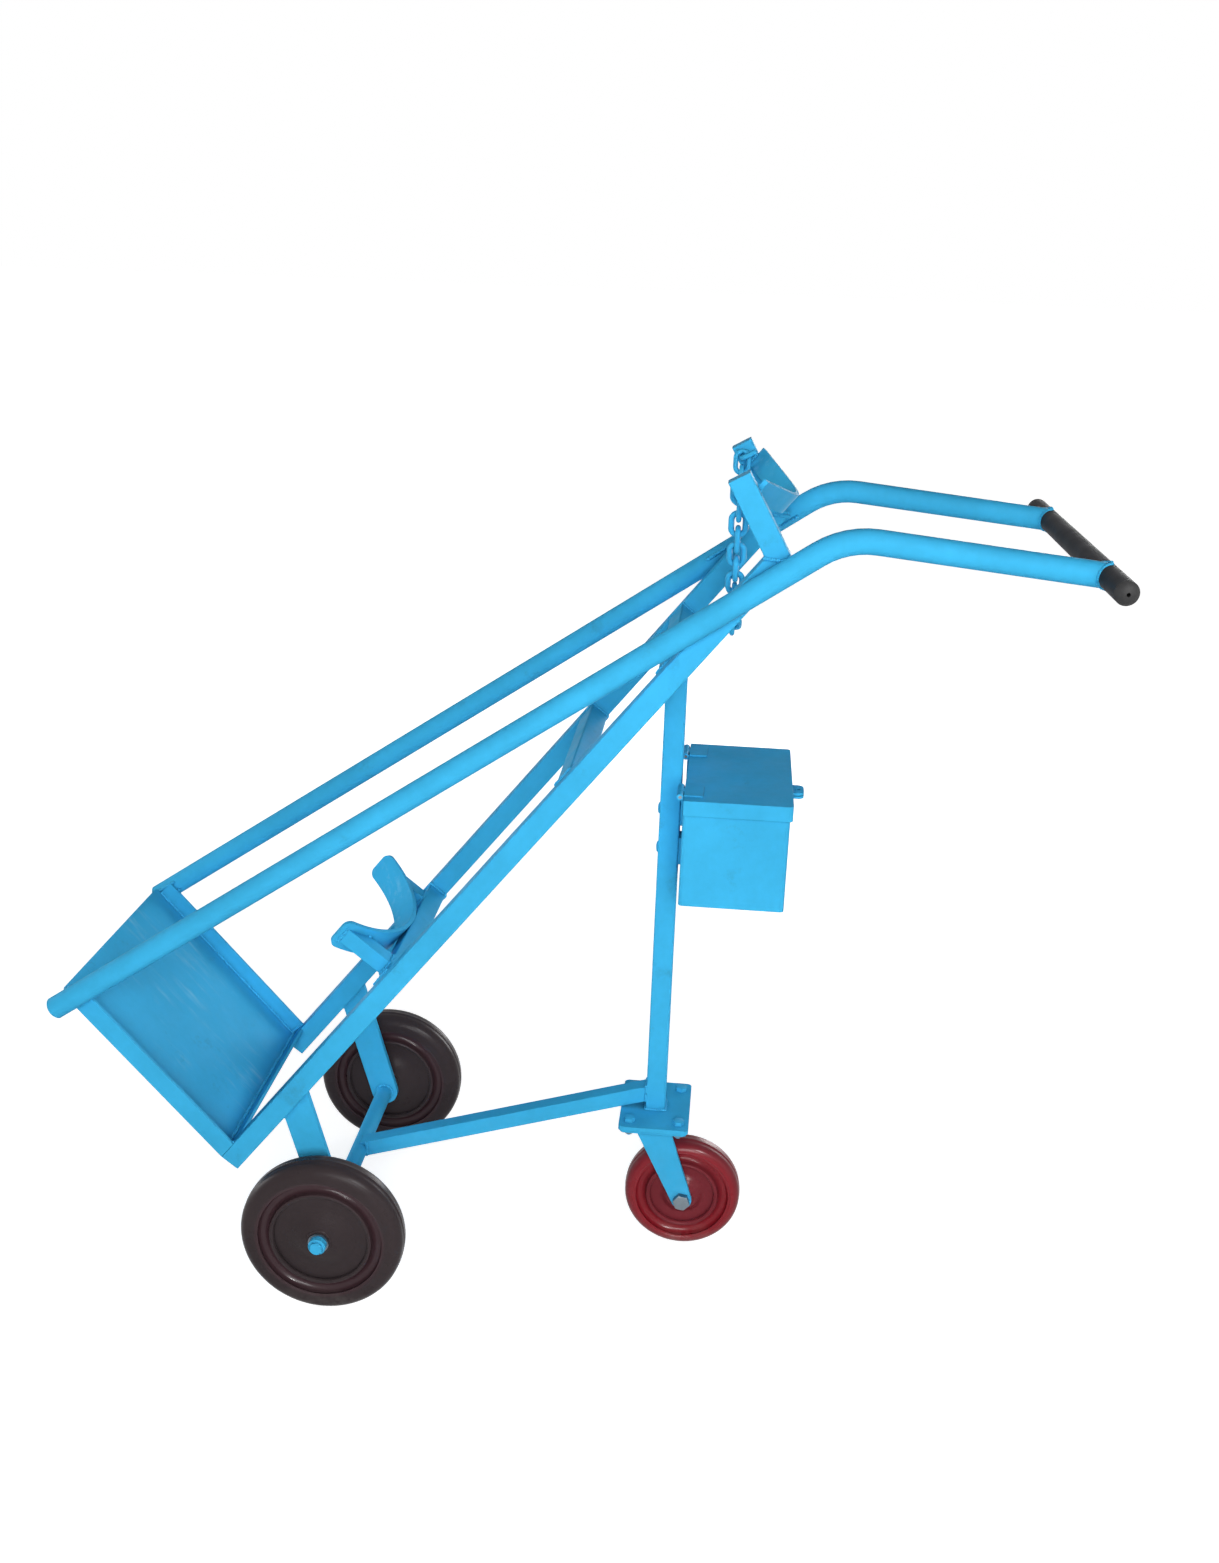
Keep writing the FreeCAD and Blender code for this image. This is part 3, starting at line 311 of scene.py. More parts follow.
def make_corner_shade_and_grime():
    """Workshop dirt with painted shade: corners where pieces meet darkened where shade falls, sparse smears,
    and pale dust towards the floor.
    """
    group, given, out = new_group(
        "corner_shade_and_grime",
        [
            ("Colour", COLOUR, MID_GREY),
            ("Corner Dirt", FLOAT, 0.5),
            ("Smear", FLOAT, 0.4),
            ("Dust", FLOAT, 0.3),
            ("Dust Top", FLOAT, 0.2),
        ],
        [("Colour", COLOUR), ("Mask", FLOAT)],
    )
    place = object_place(group)
    # Occlusion darkens corners and seams: this is painted shade, partly standing for dirt, broken up by
    # noise.
    shelter = group.nodes.new("ShaderNodeAmbientOcclusion")
    shelter.samples = SHELTER_SAMPLES
    set_inputs(group, shelter, Distance=SHELTER_REACH)
    corner = remap(group, shelter.outputs["AO"], 0.35, 0.85, 1.0, 0.0)
    uneven = noise(group, place, scale=55.0, detail=5.0, roughness=0.7)
    shade_and_soil = product(group, corner, remap(group, uneven, 0.35, 0.65, 0.5, 1.0), given["Corner Dirt"])
    shaded_and_soiled = mix_colour(group, "MULTIPLY", shade_and_soil, given["Colour"], SHADE_AND_SOIL_TINT)
    spots = noise(group, place, scale=17.0, detail=7.0, roughness=0.72)
    smear = product(group, remap(group, spots, 0.60, 0.74), given["Smear"])
    shaded_and_dirty = mix_colour(group, "MIX", smear, shaded_and_soiled, SMEAR_COLOUR)
    split = group.nodes.new("ShaderNodeSeparateXYZ")
    set_inputs(group, split, Vector=place)
    low = remap(group, split.outputs["Z"], given["Dust Top"], 0.0)
    cloud = noise(group, place, scale=40.0, detail=6.0, roughness=0.7)
    dust = product(group, low, remap(group, cloud, 0.38, 0.72), given["Dust"])
    shaded_dirty_and_dusty = mix_colour(group, "MIX", dust, shaded_and_dirty, DUST_COLOUR)
    cover = math_node(group, "MAXIMUM", math_node(group, "MAXIMUM", smear, dust), shade_and_soil)
    set_inputs(group, out, Colour=shaded_dirty_and_dusty, Mask=cover)
    return group


def make_turned_rings():
    """Fine rings left by moulding, about an axis along Y through a centre."""
    group, given, out = new_group(
        "turned_rings",
        [("Centre", "NodeSocketVector", (0.0, 0.0, 0.0)), ("Rings", FLOAT, 400.0)],
        [("Height", FLOAT), ("Radius", FLOAT)],
    )
    split = group.nodes.new("ShaderNodeSeparateXYZ")
    offset = vector_node(group, "SUBTRACT", "Vector", object_place(group), given["Centre"])
    set_inputs(group, split, Vector=offset)
    square_x = math_node(group, "POWER", split.outputs["X"], 2.0)
    square_z = math_node(group, "POWER", split.outputs["Z"], 2.0)
    radius = math_node(group, "SQRT", math_node(group, "ADD", square_x, square_z))
    wave = math_node(group, "SINE", product(group, radius, given["Rings"]))
    set_inputs(group, out, Height=wave, Radius=radius)
    return group


def make_slide_scuffs():
    """Pale streaks rubbed along the toe plate and the saddles."""
    group, given, out = new_group(
        "slide_scuffs",
        [("Colour", COLOUR, MID_GREY), ("Scuff Colour", COLOUR, MID_GREY), ("Amount", FLOAT, 0.3)],
        [("Colour", COLOUR)],
    )
    place = object_place(group)
    turned = group.nodes.new("ShaderNodeMapping")
    turned.vector_type = "TEXTURE"
    slope = math.atan2(-TOE_FORWARD.z, TOE_FORWARD.x)
    set_inputs(group, turned, Vector=place, Rotation=(0.0, slope, 0.0), Scale=(STREAK_STRETCH, 1.0, 1.0))
    streaks = noise(group, turned.outputs["Vector"], scale=70.0, detail=5.0, roughness=0.65)
    patches = noise(group, place, scale=13.0, detail=3.0, roughness=0.5)
    shown = remap(group, patches, 0.44, 0.62)
    mask = product(group, remap(group, streaks, 0.52, 0.72), shown, given["Amount"])
    set_inputs(group, out, Colour=mix_colour(group, "MIX", mask, given["Colour"], given["Scuff Colour"]))
    return group


PAINT_FILM = make_paint_film()
EDGE_WEAR = make_edge_wear()
CORNER_SHADE_AND_GRIME = make_corner_shade_and_grime()
TURNED_RINGS = make_turned_rings()
SLIDE_SCUFFS = make_slide_scuffs()


# Materials

BLUE = (0.050, 0.450, 0.780)
WORN_BLUE = (0.035, 0.16, 0.27)
SCUFFED_BLUE = (0.20, 0.60, 0.86)
EDGE_WIDTH = 0.0009
PAINT_DULLED_BY_DIRT = 0.35
WHEEL_DULLED_BY_DIRT = 0.4
RING_COAT = 0.22
RING_COAT_ROUGHNESS = 0.18
MOULD_RINGS = 2600.0
MOULD_RING_SHARE = 0.15


def place_group(tree, group, **sources):
    """Outputs of a shader group placed in a tree with its own values."""
    node = tree.nodes.new("ShaderNodeGroup")
    node.node_tree = group
    return set_inputs(tree, node, **sources).outputs


def new_material(name):
    """Material with one Principled shader, its tree and that shader."""
    material = bpy.data.materials.new(name)
    material.use_nodes = True
    tree = material.node_tree
    return material, tree, tree.nodes["Principled BSDF"]


def spray(tree, colour, spread, gloss, ripple):
    """Outputs of a paint film with its shade spread, range of gloss and ripple scale."""
    return place_group(
        tree, PAINT_FILM, Colour=colour, Shade_Spread=spread, Ripple_Scale=ripple,
        Gloss_Low=gloss[0], Gloss_High=gloss[1],
    )


def add_bump(tree, shader, height, strength, distance, normal=None):
    """Raises a shader's surface by a height, over a given normal if there is one."""
    bump = tree.nodes.new("ShaderNodeBump")
    set_inputs(tree, bump, Height=height, Strength=strength, Distance=distance)
    if normal:
        tree.links.new(normal, bump.inputs["Normal"])
    tree.links.new(bump.outputs["Normal"], shader.inputs["Normal"])


def dulled(tree, film, shade_and_grime, amount):
    """Roughness of a film, raised under the grime group's mask of dirt, dust and painted corner shade."""
    return math_node(tree, "ADD", film["Roughness"], product(tree, shade_and_grime["Mask"], amount))


def plain_coat(name, colour, spread, gloss, ripple, smear, specular):
    """Painted small pieces that are round already: film, dirt and painted corner shade alone."""
    material, tree, shader = new_material(name)
    film = spray(tree, colour, spread, gloss, ripple)
    # The grime group also paints shade into the corners here, besides smears.
    shade_and_grime = place_group(tree, CORNER_SHADE_AND_GRIME, Colour=film["Colour"], Corner_Dirt=0.35, Smear=smear, Dust=0.0)
    set_inputs(tree, shader, Base_Color=shade_and_grime["Colour"], Roughness=film["Roughness"])
    set_inputs(tree, shader, Specular_IOR_Level=specular)
    add_bump(tree, shader, film["Height"], strength=0.10, distance=0.0005)
    return material


def coated_metal(name, colour, worn, spread, gloss, ripple, wear, smear, dust, specular, scuffed=None):
    """Painted metal: film, rubbed edges, dirt and softly shaded corners, and scuffs if they have a colour."""
    material, tree, shader = new_material(name)
    film = spray(tree, colour, spread, gloss, ripple)
    finish = place_group(
        tree, EDGE_WEAR, Colour=film["Colour"], Worn_Colour=worn, Edge_Width=EDGE_WIDTH, Wear=wear,
    )
    if scuffed:
        finish = place_group(tree, SLIDE_SCUFFS, Colour=finish["Colour"], Scuff_Colour=scuffed, Amount=0.6)
    # The grime group also paints shade into the corners here, besides dirt and dust.
    shade_and_grime = place_group(tree, CORNER_SHADE_AND_GRIME, Colour=finish["Colour"], Corner_Dirt=0.75, Smear=smear, Dust=dust)
    roughness = dulled(tree, film, shade_and_grime, PAINT_DULLED_BY_DIRT)
    set_inputs(tree, shader, Base_Color=shade_and_grime["Colour"], Roughness=roughness, Specular_IOR_Level=specular)
    soft = set_inputs(tree, tree.nodes.new("ShaderNodeBevel"), Radius=EDGE_WIDTH)
    soft.samples = BEVEL_SAMPLES
    add_bump(tree, shader, film["Height"], strength=0.12, distance=0.0006, normal=soft.outputs["Normal"])
    return material


def moulded_wheel(name, colour, sheen_colour, ring, centre, specular):
    """Moulded wheel: shade changes, a redder ring of painted sheen that is also glossier, fine mould rings
    and dust low on the tread.

    The sheen ring's four radii are where it starts, is full, starts to fade and ends.
    """
    material, tree, shader = new_material(name)
    film = spray(tree, colour, spread=0.10, gloss=(0.24, 0.38), ripple=260.0)
    rings = place_group(tree, TURNED_RINGS, Centre=centre, Rings=MOULD_RINGS)
    near = remap(tree, rings["Radius"], ring[0], ring[1])
    far = remap(tree, rings["Radius"], ring[2], ring[3], 1.0, 0.0)
    # The ring's colour is painted sheen: a reddish highlight laid into the base colour, with a coat on it.
    sheen_band = product(tree, near, far)
    sheened = mix_colour(tree, "MIX", sheen_band, film["Colour"], sheen_colour)
    # The grime group also paints shade into the wheel's corners, besides dirt and dust.
    shade_and_grime = place_group(
        tree, CORNER_SHADE_AND_GRIME, Colour=sheened, Corner_Dirt=0.3, Smear=0.25, Dust=0.30, Dust_Top=0.03,
    )
    roughness = dulled(tree, film, shade_and_grime, WHEEL_DULLED_BY_DIRT)
    set_inputs(tree, shader, Base_Color=shade_and_grime["Colour"], Roughness=roughness, Specular_IOR_Level=specular)
    set_inputs(tree, shader, Coat_Weight=product(tree, sheen_band, RING_COAT), Coat_Roughness=RING_COAT_ROUGHNESS)
    height = math_node(tree, "ADD", film["Height"], product(tree, rings["Height"], MOULD_RING_SHARE))
    add_bump(tree, shader, height, strength=0.15, distance=0.0005)
    return material


def make_zinc_steel():
    """Zinc plated steel: cloudy grey metal with fine scratches."""
    material, tree, shader = new_material("zinc_steel")
    film = spray(tree, (0.17, 0.21, 0.24), spread=0.16, gloss=(0.28, 0.46), ripple=900.0)
    # The grime group also paints shade into the corners here, besides smears.
    shade_and_grime = place_group(tree, CORNER_SHADE_AND_GRIME, Colour=film["Colour"], Corner_Dirt=0.5, Smear=0.35, Dust=0.05)
    set_inputs(tree, shader, Base_Color=shade_and_grime["Colour"], Roughness=film["Roughness"], Metallic=0.9)
    add_bump(tree, shader, film["Height"], strength=0.15, distance=0.0003)
    return material


blue_enamel = coated_metal(
    "blue_enamel", BLUE, WORN_BLUE, spread=0.085, gloss=(0.36, 0.52), ripple=420.0,
    wear=0.45, smear=0.28, dust=0.10, specular=0.01,
)
rubbed_blue = coated_metal(
    "rubbed_blue", BLUE, WORN_BLUE, spread=0.06, gloss=(0.36, 0.52), ripple=420.0,
    wear=0.60, smear=0.30, dust=0.10, specular=0.01, scuffed=SCUFFED_BLUE,
)
blue_bead = plain_coat(
    "blue_bead", BLUE, spread=0.06, gloss=(0.38, 0.54), ripple=420.0, smear=0.20, specular=0.05,
)
black_enamel = coated_metal(
    "black_enamel", (0.036, 0.037, 0.041), (0.075, 0.076, 0.080), spread=0.06, gloss=(0.56, 0.70),
    ripple=240.0, wear=0.4, smear=0.0, dust=0.0, specular=0.03,
)
black_rubber = coated_metal(
    "black_rubber", (0.026, 0.026, 0.027), (0.05, 0.05, 0.05), spread=0.06, gloss=(0.60, 0.80),
    ripple=900.0, wear=0.3, smear=0.0, dust=0.0, specular=0.25,
)
# The front wheels' dark maroon is partly painted shade: a red moulding darkened as it looks in shadow.
maroon_wheel = moulded_wheel(
    "maroon_wheel", (0.040, 0.030, 0.032), sheen_colour=(0.048, 0.024, 0.029),
    ring=(0.060, 0.064, 0.076, 0.081), centre=AXLE, specular=0.06,
)
# The castor's brighter red ring is painted sheen on its lip.
red_wheel = moulded_wheel(
    "red_wheel", (0.175, 0.022, 0.030), sheen_colour=(0.240, 0.012, 0.020),
    ring=(0.046, 0.054, 0.066, 0.075), centre=CASTOR_AXLE, specular=0.08,
)
zinc_steel = make_zinc_steel()
FINISHES = {
    "blue_enamel": blue_enamel, "black_enamel": black_enamel, "black_rubber": black_rubber,
    "maroon_wheel": maroon_wheel, "red_wheel": red_wheel, "zinc_steel": zinc_steel,
}
RUBBED_SURFACES = ("toe_plate", "lower_saddle", "upper_saddle")


def dress_nodes():
    """Gives every CAD node the finish of its slot, and the toe plate and saddles a rubbed one."""
    for row in frame["record"]["subparts"]:
        mesh = nodes[row["node"]].data
        mesh.materials.clear()
        mesh.materials.append(FINISHES[row["material_slot"]])
    for node in RUBBED_SURFACES:
        nodes[node].data.materials[0] = rubbed_blue


dress_nodes()


# Objects and geometry trees


def add_object(name, data):
    """Object in the scene that holds a mesh, a lamp or a camera."""
    thing = bpy.data.objects.new(name, data)
    scene.collection.objects.link(thing)
    return thing


def add_piece(piece, body, slot, *stood_for):
    """Lets a finished piece ride on a body, and hides the nodes that it stands for. The slot is not used."""
    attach(piece, body)
    if stood_for:
        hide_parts(*stood_for)


def new_tree(name, inputs):
    """Empty geometry tree with named inputs, the outputs of its input node, and its output node."""
    tree = bpy.data.node_groups.new(name, "GeometryNodeTree")
    tree.interface.new_socket("Geometry", in_out="INPUT", socket_type="NodeSocketGeometry")
    for label, kind, value in inputs:
        socket = tree.interface.new_socket(label, in_out="INPUT", socket_type=kind)
        socket.default_value = value
    tree.interface.new_socket("Finish", in_out="INPUT", socket_type="NodeSocketMaterial")
    tree.interface.new_socket("Geometry", in_out="OUTPUT", socket_type="NodeSocketGeometry")
    return tree, tree.nodes.new("NodeGroupInput").outputs, tree.nodes.new("NodeGroupOutput")


def stored_turn(tree):
    """Rotation stored on each source point."""
    turn = tree.nodes.new("GeometryNodeInputNamedAttribute")
    turn.data_type = "FLOAT_VECTOR"
    set_inputs(tree, turn, Name="turn")
    euler = set_inputs(tree, tree.nodes.new("FunctionNodeEulerToRotation"), Euler=turn.outputs["Attribute"])
    return euler.outputs["Rotation"]


def set_on_points(tree, **sources):
    """Copies of a shape on points."""
    spread = set_inputs(tree, tree.nodes.new("GeometryNodeInstanceOnPoints"), **sources)
    return spread.outputs["Instances"]


def finish_tree(tree, given, out, geometry, smooth=True):
    """Ends a tree: instances made real, shaded smooth if asked, with the material that it was given."""
    steps = ["GeometryNodeRealizeInstances", "GeometryNodeSetMaterial"]
    if smooth:
        steps.insert(1, "GeometryNodeSetShadeSmooth")
    for kind in steps:
        step = set_inputs(tree, tree.nodes.new(kind), Geometry=geometry)
        geometry = step.outputs["Geometry"]
    set_inputs(tree, step, Material=given["Finish"])
    set_inputs(tree, out, Geometry=geometry)


def grow(name, mesh, tree, **values):
    """One plain mesh object that a tree makes from a source mesh."""
    source = add_object(name + "_source", mesh)
    modifier = source.modifiers.new("grow", "NODES")
    modifier.node_group = tree
    for item in tree.interface.items_tree:
        if item.item_type == "SOCKET" and item.in_out == "INPUT" and item.name in values:
            modifier[item.identifier] = values[item.name]
    bpy.context.view_layer.update()
    result = bpy.data.meshes.new_from_object(source.evaluated_get(bpy.context.evaluated_depsgraph_get()))
    source.modifiers.remove(modifier)
    bpy.data.objects.remove(source)
    result.name = name
    return add_object(name, result)


def turned_points(name, places, turns):
    """Source points with a turn stored on each."""
    mesh = bpy.data.meshes.new(name)
    mesh.from_pydata(places, [], [])
    stored = mesh.attributes.new("turn", "FLOAT_VECTOR", "POINT")
    stored.data.foreach_set("vector", [angle for turn in turns for angle in turn])
    return mesh


# Retaining chain

CHAIN_WIRE = 0.006
CHAIN_PITCH = 0.020
CHAIN_INNER_WIDTH = 0.0095
CHAIN_LINKS = 25
CHAIN_PLAY = 0.0016
CHAIN_PIN_RADIUS = 0.003
CHAIN_PIN_PLAY = 0.0009
CHAIN_SEAT_INSET = 0.0125
CHAIN_STEP = CHAIN_PITCH - CHAIN_PLAY
CHAIN_FIRST = CHAIN_PITCH / 2 - CHAIN_PIN_RADIUS - CHAIN_PIN_PLAY
CHAIN_SEAT_Y = BAR_INNER_Y - CHAIN_SEAT_INSET
CATENARY_SEARCH = 20
CATENARY_STEPS = 80
LINK_END_STEPS = 7
LINK_END_SHARE = 0.4999
WIRE_SIDES = 12


def hanging_curve(half_span, length):
    """Size of the catenary of this length between two points at one height."""
    low, high = half_span / CATENARY_SEARCH, half_span * CATENARY_SEARCH
    for _ in range(CATENARY_STEPS):
        middle = (low + high) / 2
        if 2 * middle * math.sinh(half_span / middle) > length:
            low = middle
        else:
            high = middle
    return middle


def link_places():
    """Centre and turn of each link of the hanging chain."""
    length = 2 * CHAIN_FIRST + (CHAIN_LINKS - 1) * CHAIN_STEP
    size = hanging_curve(CHAIN_SEAT_Y, length)
    top = size * math.cosh(CHAIN_SEAT_Y / size)
    for index in range(CHAIN_LINKS):
        run = CHAIN_FIRST + index * CHAIN_STEP - length / 2
        y = size * math.asinh(run / size)
        centre = CHAIN_AXIS + Vector((0.0, y, size * math.cosh(y / size) - top))
        along = Vector((0.0, 1.0, run / size)).normalized()
        flat = AHEAD.cross(along) if index % 2 else AHEAD
        yield centre, Matrix((along, flat, along.cross(flat))).transposed().to_euler()


def make_link_tree():
    """Welded round-wire link, set on each point with the turn stored there."""
    tree, given, out = new_tree(
        "chain_links",
        [
            ("Wire Radius", FLOAT, CHAIN_WIRE / 2),
            ("Link Length", FLOAT, CHAIN_PITCH + CHAIN_WIRE),
            ("Link Width", FLOAT, CHAIN_INNER_WIDTH + CHAIN_WIRE),
        ],
    )
    outline = tree.nodes.new("GeometryNodeCurvePrimitiveQuadrilateral")
    set_inputs(tree, outline, Width=given["Link Length"], Height=given["Link Width"])
    ends = tree.nodes.new("GeometryNodeFilletCurve")
    ends.mode = "POLY"
    set_inputs(tree, ends, Curve=outline.outputs["Curve"], Count=LINK_END_STEPS, Limit_Radius=True)
    set_inputs(tree, ends, Radius=product(tree, given["Link Width"], LINK_END_SHARE))
    wire = tree.nodes.new("GeometryNodeCurvePrimitiveCircle")
    set_inputs(tree, wire, Resolution=WIRE_SIDES, Radius=given["Wire Radius"])
    link = tree.nodes.new("GeometryNodeCurveToMesh")
    set_inputs(tree, link, Curve=ends.outputs["Curve"], Profile_Curve=wire.outputs["Curve"])
    links = set_on_points(
        tree, Points=given["Geometry"], Instance=link.outputs["Mesh"], Rotation=stored_turn(tree),
    )
    finish_tree(tree, given, out, links)
    return tree


def make_chain():
    """Round-wire links in the places of the CAD links."""
    places, turns = zip(*link_places())
    points = turned_points("chain_points", places, turns)
    chain = grow("chain_round_links", points, make_link_tree(), Finish=blue_bead)
    add_piece(chain, "chain", "blue_enamel", "retaining_chain")


make_chain()


# Weld beads

BEAD_RADIUS = 0.0023
BEAD_STEP = 0.0024
BEAD_SPREAD = 0.16
BEAD_SEED = 11
BEAD_ROUNDNESS = 2
PIN_WELD_RADIUS = 0.0036
WING_WELD_SHORT = 0.002
CROSSING_WELD_EDGE = 0.0065
CROSSING_WELD_SHARE = 0.92
TUBE_FOOT_WELD = (-0.010, 0.012)
HANDLE_WELD_STEPS = 32
RAIL_WELD = (0.003, PLATE_DEPTH - 0.010)
HEEL_WELD_FORWARD = 0.001
RAIL_CORNER_FORWARD = 0.004
STAY_HALF = 0.010
STAY_WELD_HEIGHT = 0.020
SLEEVE_WELD = (-0.006, 0.012)
SLEEVE_WELD_SEAT = 0.98


def make_bead_tree():
    """Overlapping drops of weld along each line of the source mesh."""
    tree, given, out = new_tree(
        "weld_bead",
        [
            ("Bead Radius", FLOAT, BEAD_RADIUS),
            ("Bead Step", FLOAT, BEAD_STEP),
            ("Size Spread", FLOAT, BEAD_SPREAD),
            ("Seed", "NodeSocketInt", BEAD_SEED),
        ],
    )
    line = set_inputs(tree, tree.nodes.new("GeometryNodeMeshToCurve"), Mesh=given["Geometry"])
    even = tree.nodes.new("GeometryNodeCurveToPoints")
    even.mode = "LENGTH"
    set_inputs(tree, even, Curve=line.outputs["Curve"], Length=given["Bead Step"])
    drop = tree.nodes.new("GeometryNodeMeshIcoSphere")
    set_inputs(tree, drop, Subdivisions=BEAD_ROUNDNESS, Radius=given["Bead Radius"])
    random = tree.nodes.new("FunctionNodeRandomValue")
    random.data_type = "FLOAT"
    smallest, largest = [socket for socket in random.inputs if socket.type == "VALUE"][:2]
    feed(tree, smallest, math_node(tree, "SUBTRACT", 1.0, given["Size Spread"]))
    feed(tree, largest, math_node(tree, "ADD", 1.0, given["Size Spread"]))
    set_inputs(tree, random, Seed=given["Seed"])
    size = [socket for socket in random.outputs if socket.type == "VALUE"][0]
    drops = set_on_points(
        tree, Points=even.outputs["Points"], Instance=drop.outputs["Mesh"],
        Rotation=even.outputs["Rotation"], Scale=size,
    )
    finish_tree(tree, given, out, drops)
    return tree


def square_ring(centre, first, second, half):
    """Closed square of four corners about a centre, in the plane of two directions."""
    corners = [(1, 1), (-1, 1), (-1, -1), (1, -1), (1, 1)]
    return [centre + first * (half * a) + second * (half * b) for a, b in corners]


def circle_ring(centre, radius, steps=20):
    """Closed circle about a centre, in the upright plane along the trolley."""
    turns = [2 * math.pi * step / steps for step in range(steps + 1)]
    return [centre + AHEAD * (radius * math.cos(t)) + UPWARD * (radius * math.sin(t)) for t in turns]


def wing_out(radius):
    """Height of the upper saddle's wing where it meets the chain post, out from the rear bars."""
    angle = UPPER_SADDLE_HALF_ANGLE
    run = (BAR_INNER_Y - radius * math.sin(angle)) / math.cos(angle)
    return CRADLE_CENTRE_OUT - radius * math.cos(angle) + run * math.sin(angle)


def bar_weld_lines(side):
    """Welds of one rear bar: cross-bars, saddle post, chain post, upper saddle and axle bracket."""
    inner = side * BAR_INNER_Y
    for along in (LOWER_SADDLE_ALONG, MIDDLE_BAR_ALONG, LEG_BAR_ALONG):
        yield square_ring(cradle(along, inner, 0.0), UP_BARS, OUT_OF_BARS, HALF_BAR)
    post_y = side * SADDLE_POST_Y
    yield square_ring(cradle(LOWER_SADDLE_ALONG, post_y, HALF_BAR), UP_BARS, ACROSS, SADDLE_POST_HALF)
    for edge in (-SADDLE_POST_HALF, SADDLE_POST_HALF):
        y = post_y + edge
        out = CRADLE_CENTRE_OUT - math.sqrt(SADDLE_OUTER_RADIUS ** 2 - y ** 2)
        yield [cradle(LOWER_SADDLE_ALONG + a, y, out) for a in (-SADDLE_POST_HALF, SADDLE_POST_HALF)]
    mitre = math.tan(math.pi / 4 - POST_TILT / 2)
    for face in (BAR_INNER_Y, BAR_OUTER_Y):
        yield [cradle(POST_ALONG + mitre * e, side * face, -e) for e in (HALF_BAR, -HALF_BAR)]
    wings = [wing_out(SADDLE_OUTER_RADIUS - t) for t in (0.0, SADDLE_THICKNESS)]
    middle = POST_ALONG + sum(wings) / 2 * math.tan(POST_TILT)
    start = middle + UPPER_SADDLE_SETBACK - UPPER_SADDLE_WIDTH / 2
    end = middle + HALF_BAR / math.cos(POST_TILT) - WING_WELD_SHORT
    for out in wings:
        yield [cradle(along, inner, out) for along in (start, end)]
    for face in (-BRACKET_HALF, BRACKET_HALF):
        yield [cradle(a, side * BAR_Y + face, -HALF_BAR) for a in BRACKET_ALONG]
        yield circle_ring(AXLE + ACROSS * (side * BAR_Y + face), AXLE_SLEEVE_RADIUS)
    yield circle_ring(CHAIN_AXIS + ACROSS * inner, PIN_WELD_RADIUS, 12)


def tube_weld_lines(side):
    """Welds of one side tube: along the rear bar where they cross, at the toe rail and round the handle."""
    face = side * BAR_OUTER_Y
    lift = CLIMB.cross(ACROSS).normalized()
    slant = math.asin(min(1.0, abs(CLIMB.dot(OUT_OF_BARS))))
    reach = HALF_BAR / math.sin(slant)
    for edge in (-CROSSING_WELD_EDGE, CROSSING_WELD_EDGE):
        shift = edge / math.tan(slant)
        middle = CROSSING + ACROSS * face + lift * edge
        ends = (-reach * CROSSING_WELD_SHARE - shift, reach * CROSSING_WELD_SHARE - shift)
        yield [middle + CLIMB * s for s in ends]
        foot = TUBE_FOOT + ACROSS * face + lift * edge
        yield [foot + CLIMB * s for s in TUBE_FOOT_WELD]
    ring = []
    upright = HANDLE_WAY.cross(ACROSS)
    for step in range(HANDLE_WELD_STEPS + 1):
        turn = 2 * math.pi * step / HANDLE_WELD_STEPS
        high = TUBE_RADIUS * math.cos(turn)
        back = math.sqrt(max(HANDLE_RADIUS ** 2 - high ** 2, 0.0))
        wide = TUBE_RADIUS * math.sin(turn)
        ring.append(HANDLE + ACROSS * (side * TUBE_Y + wide) + upright * high - HANDLE_WAY * back)
    yield ring


def plate_weld_lines(side):
    """Welds of one side of the toe plate: along its rail, across the rear bar's foot and up the corner."""
    yield [toe(0.0, side * RAIL_INNER_Y, forward) for forward in RAIL_WELD]
    yield [toe(0.0, side * y, HEEL_WELD_FORWARD) for y in (BAR_INNER_Y, RAIL_INNER_Y)]
    yield [toe(up, side * RAIL_INNER_Y, RAIL_CORNER_FORWARD) for up in (0.0, RAIL_HEIGHT)]


def leg_weld_lines():
    """Welds of the leg's foot, of the rear toe rail and of both ends of the stay."""
    yield square_ring(Vector((LEG_X, 0.0, MOUNT_PLATE_TOP)), AHEAD, ACROSS, HALF_BAR)
    yield [toe(0.0, y, HEEL_WELD_FORWARD) for y in (-BAR_INNER_Y, 0.0, BAR_INNER_Y)]
    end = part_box("stay_bar")[1]
    stay_sides = (-STAY_HALF, STAY_HALF)
    for y in stay_sides:
        yield [Vector((end.x, y, z)) for z in (end.z - STAY_WELD_HEIGHT, end.z)]
    yield [Vector((end.x, y, end.z)) for y in stay_sides]
    for y in stay_sides:
        seat = AXLE + ACROSS * y + AHEAD * (AXLE_SLEEVE_RADIUS * SLEEVE_WELD_SEAT)
        yield [seat + UPWARD * z for z in SLEEVE_WELD]


def frame_weld_lines():
    """Lines of weld on the frame, as lists of points."""
    lines = list(leg_weld_lines())
    for side in SIDES:
        for maker in (bar_weld_lines, tube_weld_lines, plate_weld_lines):
            lines.extend(maker(side))
    return lines


def make_welds():
    """One piece of beads along all weld lines of the frame."""
    verts, edges = [], []
    for line in frame_weld_lines():
        start = len(verts)
        verts.extend(line)
        edges.extend((start + i, start + i + 1) for i in range(len(line) - 1))
    mesh = bpy.data.meshes.new("weld_lines")
    mesh.from_pydata(verts, edges, [])
    add_piece(grow("frame_welds", mesh, make_bead_tree(), Finish=blue_bead), "frame", "blue_enamel")


make_welds()


# Square tubes

